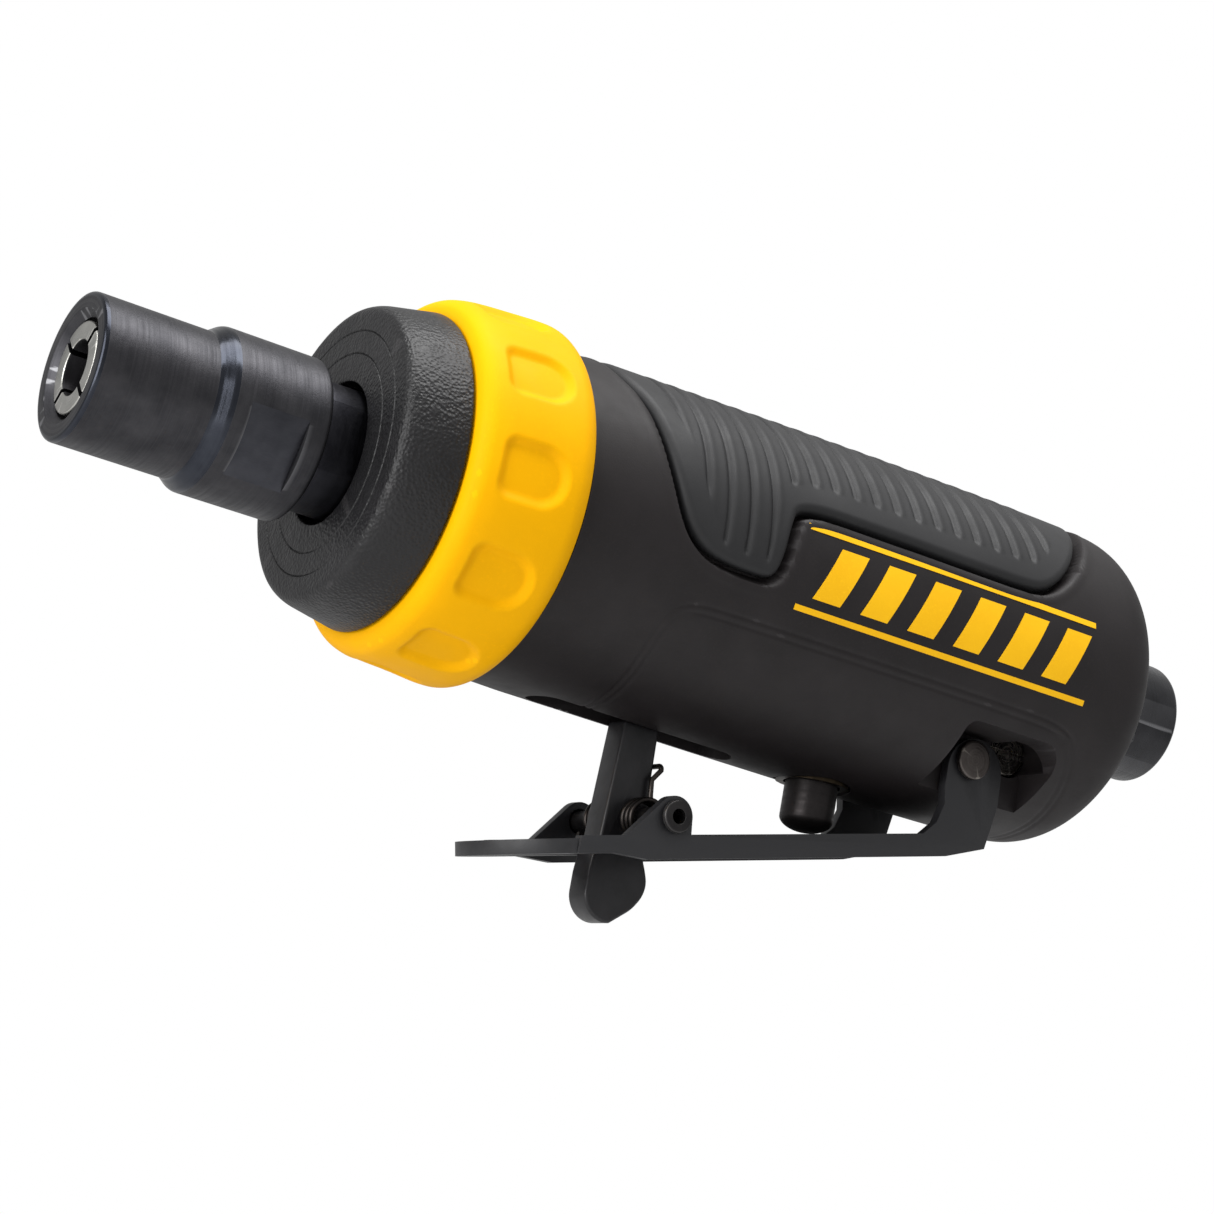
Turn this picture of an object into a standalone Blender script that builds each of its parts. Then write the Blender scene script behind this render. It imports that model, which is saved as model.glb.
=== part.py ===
"""Pneumatic die grinder, 6 mm class: vane motor, front exhaust deflector, paddle throttle with a lock-off latch.

Sizes are millimetres. A station is a distance along the tool's axis, measured from the rear plane of the
deflector ring: negative towards the collet, positive towards the air inlet. The lever hangs below the body.
"""
import math

import bmesh
import bpy
from mathutils import Matrix, Vector

MM = 0.001
GAP = 0.3
STEPS = 40
SMALL_STEPS = 16

# Whole tool, stations and radii
NUT_FACE = -58.1
INLET_END = 110.4
RING_RADIUS = 23.8
LOBE_BOTTOM = -47.4
CENTRE = Vector(((NUT_FACE + INLET_END) / 2, 0, (RING_RADIUS + LOBE_BOTTOM) / 2))

# Body shell
BODY_FRONT = 0.7
NECK_RADIUS = 19.2
NECK_FRONT = -14.0
SPIGOT_RADIUS = 17.6
SPIGOT_FRONT = -19.0
MOTOR_BORE = 16.6
MOTOR_BORE_END = 42.3
DOME_START = 87.0
DOME_END = 97.0
DOME_LENGTH = 11.0
DOME_RADIUS = 22.5
DOME_POWER = 2.5
BODY_BULGE = [(BODY_FRONT, 21.5), (8, 21.8), (24, 22.1), (38, 22.35), (52, 22.55), (68, 22.65), (80, 22.6)]

# Grip pad: half angle from the top, in degrees, at each station
PAD_EDGE = [(7.5, 30), (8.2, 38), (9.7, 48), (11, 61), (12.5, 75), (14.5, 88), (16.7, 95), (20, 99), (27, 100),
            (29, 98), (29.8, 90), (30.3, 80), (31.5, 71.5), (45, 71.5), (60, 72), (70, 72), (73, 69.5), (76, 63),
            (79, 53), (81.5, 42), (83.5, 32), (85, 22), (86, 12)]
PAD_DEPTH = 1.7
PAD_PROUD = 0.15
PAD_VALLEY = 0.8
PAD_ARC_STEPS = 14

# Nose cap
CAP_FACE = -23.9
CAP_INNER_FACE = -20.4
CAP_FACE_RADIUS = 18.9
CAP_SHOULDER = -15.9
CAP_SHOULDER_RADIUS = 20.5
CAP_HOLE = 9.1
CAP_SKIRT_RADIUS = 19.2
CAP_SKIRT_END = -14.3

# Deflector ring
RING_FRONT = -15.6
RING_REAR = 0.4
RING_OUTLINE = [(RING_FRONT, 20.8), (-15.3, 21.8), (-14.3, 22.7), (-12.5, 23.15), (-10, 23.4), (-6, 23.65),
                (-3.5, RING_RADIUS), (-1.8, RING_RADIUS), (-0.7, 23.3), (0.1, 22.4), (RING_REAR, 21.8)]
RING_LIP = 19.5
RING_CHAMBER = 21.2
RING_CHAMBER_ENDS = (-13.4, -1.05)

# Vane motor
PLATE_RADIUS = 16.3
FRONT_PLATE = (-20.1, -9.0)
LINER = (-8.7, 29.3)
REAR_PLATE = (29.6, 42.0)
LINER_BORE = 13.4
ECCENTRICITY = 1.6
ROTOR_RADIUS = 11.4
ROTOR = (-8.4, 29.0)
FRONT_SHAFT = 4.9
REAR_SHAFT = 3.9
VANES = 5
VANE_THICKNESS = 1.5
VANE_FOOT = 6.2
VANE_TIP = 11.6
DOWEL_HEIGHT = 14.1
DOWEL_RADIUS = 0.9
EXHAUST_PORTS = 6
FRONT_BEARING = dict(ends=(-19.8, -12.8), bore=5.2, inner=6.8, outer=9.0, rim=11.0, balls=7)
REAR_BEARING = dict(ends=(34.0, 40.0), bore=4.2, inner=5.5, outer=7.3, rim=9.0, balls=7)

# Collet, nut and holder
NUT_FRONT_RADIUS = 9.15
NUT_REAR_RADIUS = 10.3
NUT_STEP = (-43.2, -41.6)
NUT_REAR = -28.9
NUT_BORE = 7.6
NUT_MOUTH = 6.0
NUT_FLAT_DISTANCE = 9.2
NUT_FLATS = (-39.4, -31.8)
NUT_FLAT_ANGLE = 117.0
COLLET_RADIUS = 5.7
COLLET_BORE = 3.3
COLLET_SLIT = 0.7
HOLDER_COLLAR = (-28.4, -20.9)
HOLDER_COLLAR_RADIUS = 8.2
HOLDER_FLAT_DISTANCE = 7.0

# Throttle
LEVER_PIVOT = (71.6, -15.5)
LEVER_HALF_WIDTH = 11.8
LEVER_SHEET = 1.4
LEVER_PLATE = 1.8
FLANGE_DROP = 0.9
LEVER_SLOPE = math.radians(13.27)
LEVER_LINE = (29.9, -37.5)
LEVER_FRONT_CENTRE = 17.0
LEVER_REAR = 76.2
FLANGE_HEIGHT = 2.2
SLOT = (11.5, 31.5)
SLOT_HALF_WIDTH = 2.7
LATCH_PIVOT = (26.9, -33.7)
LATCH_HALF_THICKNESS = 2.1
PIN_RADIUS = 1.6
LATCH_PIN_RADIUS = 1.4
CHANNEL = (9.8, 41.0)
CHANNEL_CEILING = -17.2
CHANNEL_HALF_WIDTH = 2.9
POCKET = (64.8, 81.8)
POCKET_TOP = -11.9
BOSS_HALF_WIDTH = 10.0
VALVE_STATION = 55.1
PLUNGER_RADIUS = 3.6
PLUNGER_TIP = -28.9
REGULATOR = (79.5, -12.6)
REGULATOR_RADIUS = 3.0
PASSAGE_HEIGHT = -8.0
PASSAGE_RADIUS = 3.6
INLET_BORE = 7.6
HEX_LENGTH = 4.6
INLET_BORE_START = 86.6


def remove_everything():
    """Empty the scene without closing the file."""
    for thing in list(bpy.data.objects):
        bpy.data.objects.remove(thing, do_unlink=True)


def make_collection(name):
    """Add a collection under the scene's own."""
    group = bpy.data.collections.new(name)
    bpy.context.scene.collection.children.link(group)
    return group


def finish_material(name, colour, roughness, metallic):
    """A Principled material."""
    material = bpy.data.materials.new(name)
    material.use_nodes = True
    shader = material.node_tree.nodes["Principled BSDF"]
    shader.inputs["Base Color"].default_value = (*colour, 1)
    shader.inputs["Roughness"].default_value = roughness
    shader.inputs["Metallic"].default_value = metallic
    return material


remove_everything()
TOOL = make_collection("die_grinder")
CUTTERS = make_collection("cutters")
BLACK_BODY = finish_material("black_composite", (0.028, 0.027, 0.029), 0.5, 0)
BLACK_RUBBER = finish_material("black_rubber", (0.045, 0.045, 0.047), 0.65, 0)
YELLOW = finish_material("yellow_plastic", (1.0, 0.55, 0.0), 0.4, 0)
DARK_STEEL = finish_material("blackened_steel", (0.10, 0.10, 0.11), 0.4, 1)
BRIGHT_STEEL = finish_material("bright_steel", (0.55, 0.54, 0.52), 0.3, 1)
BLACK_SHEET = finish_material("black_sheet_steel", (0.03, 0.03, 0.033), 0.4, 0.4)
BROWN_STEEL = finish_material("oiled_steel", (0.20, 0.17, 0.15), 0.4, 1)
GREY_PLATE = finish_material("end_plate_iron", (0.30, 0.30, 0.31), 0.5, 1)
VANE_RESIN = finish_material("vane_resin", (0.20, 0.11, 0.05), 0.6, 0)
BRASS = finish_material("brass", (0.70, 0.48, 0.20), 0.35, 1)
SEAL = finish_material("seal_rubber", (0.02, 0.02, 0.02), 0.7, 0)
FELT = finish_material("grey_felt", (0.35, 0.34, 0.32), 0.95, 0)


def place(x, y, z):
    """World position of a point given by station, side and height."""
    return (Vector((x, y, z)) - CENTRE) * MM


def add_object(name, mesh, material=None, cutter=False):
    """Link a mesh as a part or as a hidden cutter."""
    thing = bpy.data.objects.new(name, mesh)
    if cutter:
        CUTTERS.objects.link(thing)
        thing.hide_render = True
        thing.display_type = "WIRE"
    else:
        TOOL.objects.link(thing)
        mesh.materials.append(material)
    return thing


AXIS_TURN = {"X": (0, math.pi / 2, 0), "Y": (-math.pi / 2, 0, 0), "Z": (0, 0, 0)}


def clockwise(points):
    """The loop in the order that a turned profile needs: down its outer side."""
    area = 0
    for (r0, z0), (r1, z1) in zip(points, points[1:] + points[:1]):
        area += r0 * z1 - r1 * z0
    return points if area < 0 else points[::-1]


def turned(name, profile, material=None, axis="X", at=(0, 0, 0), steps=STEPS, cutter=False):
    """A turned solid. Profile pairs are (distance along the axis, radius), round the whole section."""
    loop = clockwise([(radius * MM, along * MM) for along, radius in profile])
    closed = all(radius > 0 for radius, along in loop)
    while not closed and not (loop[0][0] == 0 and loop[-1][0] == 0):
        loop = loop[1:] + loop[:1]
    mesh = bpy.data.meshes.new(name)
    points = [(radius, 0, along) for radius, along in loop]
    edges = [(i, i + 1) for i in range(len(points) - 1)]
    if closed:
        edges.append((len(points) - 1, 0))
    mesh.from_pydata(points, edges, [])
    thing = add_object(name, mesh, material, cutter)
    screw = thing.modifiers.new("turn", "SCREW")
    screw.axis = "Z"
    screw.angle = 2 * math.pi
    screw.steps = steps
    screw.render_steps = steps
    screw.use_merge_vertices = True
    screw.merge_threshold = 0.000001
    thing.rotation_euler = AXIS_TURN[axis]
    thing.location = place(*at)
    return thing


def ring_profile(start, end, inner, outer):
    """A plain ring's section."""
    return [(start, inner), (end, inner), (end, outer), (start, outer)]


def rod_profile(start, end, radius):
    """A plain rod's section, closed on the axis."""
    return [(start, 0), (start, radius), (end, radius), (end, 0)]


def rod(name, axis, at, start, end, radius, material=None, cutter=True, steps=SMALL_STEPS):
    """A plain rod along an axis, by default as a cutter."""
    return turned(name, rod_profile(start, end, radius), material, axis, at, steps, cutter)


def extruded(name, outline, low, high, plane="XZ", material=None, cutter=False):
    """A flat outline given thickness: XZ outlines run across Y, XY outlines run along Z, YZ along X."""
    mesh = bpy.data.meshes.new(name)
    shape = bmesh.new()
    corners = []
    for a, b in outline:
        point = {"XZ": (a, low, b), "XY": (a, b, low), "YZ": (low, a, b)}[plane]
        corners.append(shape.verts.new(place(*point)))
    face = shape.faces.new(corners)
    shift = {"XZ": (0, high - low, 0), "XY": (0, 0, high - low), "YZ": (high - low, 0, 0)}[plane]
    moved = bmesh.ops.extrude_face_region(shape, geom=[face])["geom"]
    verts = [item for item in moved if isinstance(item, bmesh.types.BMVert)]
    bmesh.ops.translate(shape, verts=verts, vec=Vector(shift) * MM)
    bmesh.ops.recalc_face_normals(shape, faces=shape.faces)
    shape.to_mesh(mesh)
    shape.free()
    return add_object(name, mesh, material, cutter)


def block(name, low, high, cutter=True, material=None):
    """A box between two corners given by station, side and height."""
    outline = [(low[0], low[2]), (high[0], low[2]), (high[0], high[2]), (low[0], high[2])]
    return extruded(name, outline, low[1], high[1], "XZ", material, cutter)


def arc(centre, radius, start, end, steps):
    """Points on an arc, angles in degrees."""
    points = []
    for i in range(steps + 1):
        angle = math.radians(start + (end - start) * i / steps)
        points.append((centre[0] + radius * math.cos(angle), centre[1] + radius * math.sin(angle)))
    return points


def boolean(thing, other, operation="DIFFERENCE", solver="EXACT"):
    """Cut or join one object with another."""
    step = thing.modifiers.new(operation.lower(), "BOOLEAN")
    step.operation = operation
    step.solver = solver
    step.object = other


def apply_modifiers(thing):
    """Keep an object's evaluated mesh, so that its helpers can be removed."""
    depsgraph = bpy.context.evaluated_depsgraph_get()
    mesh = bpy.data.meshes.new_from_object(thing.evaluated_get(depsgraph))
    thing.modifiers.clear()
    thing.data = mesh


def join(thing, others):
    """Join solids into one body and remove the originals."""
    for other in others:
        boolean(thing, other, "UNION")
    apply_modifiers(thing)
    for other in others:
        bpy.data.objects.remove(other, do_unlink=True)


def wire(name, points, radius, material):
    """A bent wire as a closed mesh."""
    curve = bpy.data.curves.new(name, "CURVE")
    curve.dimensions = "3D"
    curve.bevel_depth = radius * MM
    curve.bevel_resolution = 2
    curve.use_fill_caps = True
    spline = curve.splines.new("POLY")
    spline.points.add(len(points) - 1)
    for target, point in zip(spline.points, points):
        target.co = (*place(*point), 1)
    guide = bpy.data.objects.new(name + "_guide", curve)
    TOOL.objects.link(guide)
    depsgraph = bpy.context.evaluated_depsgraph_get()
    mesh = bpy.data.meshes.new_from_object(guide.evaluated_get(depsgraph))
    shape = bmesh.new()
    shape.from_mesh(mesh)
    bmesh.ops.remove_doubles(shape, verts=shape.verts, dist=0.000001)
    bmesh.ops.recalc_face_normals(shape, faces=shape.faces)
    shape.to_mesh(mesh)
    shape.free()
    mesh.materials.clear()
    thing = add_object(name, mesh, material)
    thing.matrix_world = guide.matrix_world
    bpy.data.objects.remove(guide, do_unlink=True)
    return thing


def radius_at(station):
    """Outer radius of the body at a station."""
    if station > DOME_START:
        part = min((station - DOME_START) / DOME_LENGTH, 1)
        return DOME_RADIUS * (1 - part ** DOME_POWER) ** (1 / DOME_POWER)
    points = BODY_BULGE + [(DOME_START, DOME_RADIUS)]
    for (x0, r0), (x1, r1) in zip(points, points[1:]):
        if station <= x1:
            return r0 + (r1 - r0) * (station - x0) / (x1 - x0)
    return DOME_RADIUS


def pad_outline(spread):
    """Station and half angle round the pad's edge, moved outwards over the body's surface by spread."""
    flat = [Vector((station, math.radians(half_angle) * DOME_RADIUS)) for station, half_angle in PAD_EDGE]
    moved = []
    for before, here, after in zip(flat[:1] + flat, flat, flat[1:] + flat[-1:]):
        along = (after - before).normalized()
        outwards = Vector((-along.y, along.x))
        point = here + outwards * spread
        moved.append((point.x, point.y / DOME_RADIUS))
    return moved


def pad_solid(name, spread, inner_extra, outer_extra, material=None, cutter=False):
    """The saddle-shaped pad: a loft of arcs over the top of the body, widened by spread on every side."""
    mesh = bpy.data.meshes.new(name)
    shape = bmesh.new()
    sections = []
    for station, half in pad_outline(spread):
        outer = radius_at(station) + outer_extra
        inner = radius_at(station) - PAD_DEPTH - inner_extra
        row = []
        for radius, sign in ((outer, 1), (inner, -1)):
            for i in range(PAD_ARC_STEPS + 1):
                angle = sign * half * (2 * i / PAD_ARC_STEPS - 1)
                point = place(station, radius * math.sin(angle), radius * math.cos(angle))
                row.append(shape.verts.new(point))
        sections.append(row)
    count = len(sections[0])
    for row, following in zip(sections, sections[1:]):
        for i in range(count):
            j = (i + 1) % count
            shape.faces.new((row[i], row[j], following[j], following[i]))
    for row in (sections[0], sections[-1]):
        for i in range(PAD_ARC_STEPS):
            shape.faces.new((row[i], row[i + 1], row[count - 2 - i], row[count - 1 - i]))
    bmesh.ops.recalc_face_normals(shape, faces=shape.faces)
    shape.to_mesh(mesh)
    shape.free()
    return add_object(name, mesh, material, cutter)


def body_housing():
    """Solid rear handle, motor bore, neck for the ring, and every passage and pocket."""
    outer = [(SPIGOT_FRONT, SPIGOT_RADIUS), (NECK_FRONT, SPIGOT_RADIUS), (NECK_FRONT, NECK_RADIUS),
             (BODY_FRONT, NECK_RADIUS)]
    outer += BODY_BULGE + [(DOME_START, DOME_RADIUS)]
    outer += [(x, radius_at(x)) for x in (89, 90.8, 92.3, 93.6, 94.7, 95.6, 96.4, DOME_END)]
    inner = [(DOME_END, INLET_BORE), (INLET_BORE_START, INLET_BORE), (INLET_BORE_START, 0)]
    rear_solid = [(MOTOR_BORE_END, 0), (MOTOR_BORE_END, MOTOR_BORE), (SPIGOT_FRONT, MOTOR_BORE)]
    body = turned("body_housing", outer + inner + rear_solid, BLACK_BODY)
    passage = (VALVE_STATION + 2, INLET_BORE_START + 2)
    boolean(body, rod("cut_passage", "X", (0, 0, PASSAGE_HEIGHT), *passage, PASSAGE_RADIUS), solver="MANIFOLD")
    boolean(body, pad_solid("cut_pad", PAD_VALLEY, GAP + 0.15, 3, cutter=True))
    ends = arc((CHANNEL[0] + 2.9, 0), CHANNEL_HALF_WIDTH, 270, 90, 8)
    ends += arc((CHANNEL[1] - 2.9, 0), CHANNEL_HALF_WIDTH, 90, -90, 8)
    boolean(body, extruded("cut_channel", ends, -30, CHANNEL_CEILING, "XY", cutter=True))
    for side in (-1, 1):
        near, far = sorted((side * BOSS_HALF_WIDTH, side * 30))
        top = [(POCKET[1], -30)] + arc((POCKET[1] - 4, POCKET_TOP - 4), 4, 0, 90, 6)
        top += arc((POCKET[0] + 1.5, POCKET_TOP - 1.5), 1.5, 90, 180, 4) + [(POCKET[0], -30)]
        boolean(body, extruded("cut_pocket", top, near, far, "XZ", cutter=True))
    valve = (VALVE_STATION, 0, 0)
    boolean(body, rod("cut_valve", "Z", valve, -26, -12.9, 5.3), solver="MANIFOLD")
    boolean(body, rod("cut_valve_chamber", "Z", valve, -13.5, -2, 4.6), solver="MANIFOLD")
    feed = rod("cut_feed", "X", (42, 0, -13.2), -1, 9.5, 1.6)
    feed.rotation_euler[1] += math.radians(20)
    boolean(body, feed, solver="MANIFOLD")
    pin = (LEVER_PIVOT[0], 0, LEVER_PIVOT[1])
    boolean(body, rod("cut_pin", "Y", pin, -15, 15, PIN_RADIUS + GAP), solver="MANIFOLD")
    spool = (REGULATOR[0], 0, REGULATOR[1])
    boolean(body, rod("cut_regulator", "Y", spool, -15, 6.5, REGULATOR_RADIUS + GAP), solver="MANIFOLD")
    for i in range(EXHAUST_PORTS):
        port = rod("cut_exhaust", "Z", (-4, 0, 0), 12, 25, 1.8, steps=8)
        port.rotation_euler = (math.radians(-70 - 28 * i), 0, 0)
        boolean(body, port, solver="MANIFOLD")
    return body


def front_pieces():
    """Nose cap, deflector ring, its felt and its O-ring."""
    cap = [(CAP_FACE, CAP_HOLE), (CAP_FACE, CAP_FACE_RADIUS - 1.2), (CAP_FACE + 0.4, CAP_FACE_RADIUS - 0.4),
           (CAP_FACE + 1.2, CAP_FACE_RADIUS + 0.2), (CAP_SHOULDER, CAP_SHOULDER_RADIUS),
           (CAP_SHOULDER, CAP_SKIRT_RADIUS), (CAP_SKIRT_END, CAP_SKIRT_RADIUS),
           (CAP_SKIRT_END, SPIGOT_RADIUS + GAP), (CAP_INNER_FACE, SPIGOT_RADIUS + GAP), (CAP_INNER_FACE, CAP_HOLE)]
    turned("nose_cap", cap, BLACK_BODY)
    front, rear = RING_CHAMBER_ENDS
    inside = [(RING_REAR, RING_LIP), (rear, RING_LIP), (rear, RING_CHAMBER), (front, RING_CHAMBER),
              (front, RING_LIP), (RING_FRONT, RING_LIP)]
    turned("deflector_ring", RING_OUTLINE + inside, YELLOW)
    turned("exhaust_silencer", ring_profile(-13, -3, NECK_RADIUS + GAP, RING_CHAMBER - GAP), FELT)
    section = arc((-1.95, 20.1), 0.58, 0, 288, 4)
    turned("deflector_o_ring", section, SEAL)


def vane_motor():
    """End plates, liner, rotor, vanes and dowel."""
    a, b = FRONT_PLATE
    pocket = FRONT_BEARING["rim"] + GAP
    floor = FRONT_BEARING["ends"][1] + GAP
    front = turned("front_end_plate", [(a, PLATE_RADIUS), (b, PLATE_RADIUS), (b, 6.6), (floor, 6.6),
                                       (floor, pocket), (a, pocket)], GREY_PLATE)
    a, b = REAR_PLATE
    pocket = REAR_BEARING["rim"] + GAP
    floor = REAR_BEARING["ends"][0] - GAP
    rear = turned("rear_end_plate", [(a, PLATE_RADIUS), (b, PLATE_RADIUS), (b, pocket), (floor, pocket),
                                     (floor, 5.2), (a, 5.2)], GREY_PLATE)
    boolean(rear, rod("cut_port", "X", (0, 0, -13.4), REAR_PLATE[0] - 1, REAR_PLATE[1] + 1, 1.6))
    liner = turned("cylinder_liner", rod_profile(*LINER, PLATE_RADIUS), BRIGHT_STEEL)
    boolean(liner, rod("cut_bore", "X", (0, 0, -ECCENTRICITY), LINER[0] - 1, LINER[1] + 1, LINER_BORE, steps=32))
    for i in range(EXHAUST_PORTS):
        port = rod("cut_liner_port", "Z", (-4, 0, 0), 8, 20, 1.5, steps=8)
        port.rotation_euler = (math.radians(-70 - 28 * i), 0, 0)
        boolean(liner, port)
    dowel_ends = (-11.5, 32.5)
    for piece in (front, rear, liner):
        hole = rod("cut_dowel", "X", (0, 0, DOWEL_HEIGHT), dowel_ends[0] - GAP, dowel_ends[1] + GAP,
                   DOWEL_RADIUS + GAP, steps=16)
        boolean(piece, hole)
    rod("dowel_pin", "X", (0, 0, DOWEL_HEIGHT), *dowel_ends, DOWEL_RADIUS, BRIGHT_STEEL, cutter=False, steps=16)

    shaft = [(-32.4, 0), (-32.4, FRONT_SHAFT - 0.5), (-31.9, FRONT_SHAFT), (-12.5, FRONT_SHAFT),
             (-12.5, 6.2), (ROTOR[0], 6.2), (ROTOR[0], ROTOR_RADIUS), (ROTOR[1], ROTOR_RADIUS),
             (ROTOR[1], 4.8), (33.4, 4.8), (33.4, REAR_SHAFT), (40.4, REAR_SHAFT), (40.8, REAR_SHAFT - 0.4),
             (40.8, 0)]
    rotor = turned("rotor_shaft", shaft, BRIGHT_STEEL, steps=24)
    for i in range(VANES):
        angle = 360 / VANES * i + 90
        turn = Matrix.Rotation(math.radians(angle), 4, "X")
        half = VANE_THICKNESS / 2
        slot = block("cut_vane_slot", (ROTOR[0] - 1, -half - GAP, VANE_FOOT - GAP),
                     (ROTOR[1] + 1, half + GAP, ROTOR_RADIUS + 3))
        vane = block("vane_%d" % (i + 1), (ROTOR[0], -half, VANE_FOOT), (ROTOR[1], half, VANE_TIP),
                     cutter=False, material=VANE_RESIN)
        centre = place(0, 0, 0)
        around = Matrix.Translation(centre) @ turn @ Matrix.Translation(-centre)
        for piece in (slot, vane):
            piece.data.transform(around)
        boolean(rotor, slot)


def ball_bearing(prefix, ends, bore, inner, outer, rim, balls):
    """Two races and a caged row of balls."""
    turned(prefix + "_inner_race", ring_profile(*ends, bore, inner), BRIGHT_STEEL, steps=24)
    turned(prefix + "_outer_race", ring_profile(*ends, outer, rim), BRIGHT_STEEL, steps=24)
    middle = (ends[0] + ends[1]) / 2
    pitch = (inner + outer) / 2
    ball_radius = (outer - inner) / 2 - 0.2
    cage = turned(prefix + "_balls", ring_profile(middle - 0.9, middle + 0.9, pitch - 0.35, pitch + 0.35),
                  BRIGHT_STEEL, steps=24)
    others = []
    for i in range(balls):
        angle = 2 * math.pi * i / balls
        ball = bmesh.new()
        bmesh.ops.create_uvsphere(ball, u_segments=6, v_segments=4, radius=ball_radius * MM)
        mesh = bpy.data.meshes.new("ball")
        ball.to_mesh(mesh)
        ball.free()
        one = add_object("ball", mesh, BRIGHT_STEEL)
        one.location = place(middle, pitch * math.sin(angle), pitch * math.cos(angle))
        others.append(one)
    bpy.context.view_layer.update()
    join(cage, others)


def collet_set():
    """Holder on the rotor shaft, split collet and clamping nut."""
    holder_front = -53.4
    profile = [(holder_front, 7.3), (-30.2, 7.3), (-30.2, 6.6), (HOLDER_COLLAR[0], 6.6),
               (HOLDER_COLLAR[0], HOLDER_COLLAR_RADIUS), (HOLDER_COLLAR[1], HOLDER_COLLAR_RADIUS),
               (HOLDER_COLLAR[1], FRONT_SHAFT + GAP), (-32.9, FRONT_SHAFT + GAP), (-32.9, 3.6),
               (-38, 3.6), (-38, 5.2), (holder_front, 6.5)]
    holder = turned("collet_holder", profile, DARK_STEEL, steps=32)
    for side in (-1, 1):
        low = 7.0 if side > 0 else -12
        high = 12 if side > 0 else -7.0
        boolean(holder, block("cut_holder_flat", (-28.5, low, -12), (-22.4, high, 12)))

    collet_front = NUT_FACE + 0.5
    profile = [(collet_front, COLLET_BORE + 0.3), (collet_front, COLLET_RADIUS - 0.3),
               (collet_front + 0.3, COLLET_RADIUS), (-56.2, COLLET_RADIUS), (-54.9, 6.9), (-53.9, 6.9),
               (-53.7, 6.2), (-38.3, 4.9), (-38.3, COLLET_BORE), (collet_front + 0.3, COLLET_BORE)]
    collet = turned("collet", profile, BRIGHT_STEEL, steps=32)
    half = COLLET_SLIT / 2
    centre = place(0, 0, 0)
    for angle in (45, 135):
        slit = block("cut_slit", (collet_front - 1, -half, -9), (-42, half, 9))
        turn = Matrix.Rotation(math.radians(angle), 4, "X")
        slit.data.transform(Matrix.Translation(centre) @ turn @ Matrix.Translation(-centre))
        boolean(collet, slit)

    profile = [(NUT_FACE, NUT_MOUTH), (NUT_FACE, NUT_FRONT_RADIUS - 0.6), (NUT_FACE + 0.6, NUT_FRONT_RADIUS),
               (NUT_STEP[0], NUT_FRONT_RADIUS), (NUT_STEP[1], NUT_REAR_RADIUS),
               (NUT_REAR - 0.8, NUT_REAR_RADIUS), (NUT_REAR, NUT_REAR_RADIUS - 0.8), (NUT_REAR, NUT_BORE),
               (-54.4, NUT_BORE), (-56.2, NUT_MOUTH + 0.2)]
    nut = turned("collet_nut", profile, DARK_STEEL)
    for side in (0, 180):
        flat = block("cut_nut_flat", (NUT_FLATS[0], -8, NUT_FLAT_DISTANCE), (NUT_FLATS[1], 8, 14))
        centre = place(0, 0, 0)
        turn = Matrix.Rotation(math.radians(NUT_FLAT_ANGLE + side), 4, "X")
        flat.data.transform(Matrix.Translation(centre) @ turn @ Matrix.Translation(-centre))
        boolean(nut, flat)


def lever_height(station):
    """Height of the lever's underside."""
    return LEVER_LINE[1] + (station - LEVER_LINE[0]) * math.tan(LEVER_SLOPE)


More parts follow.
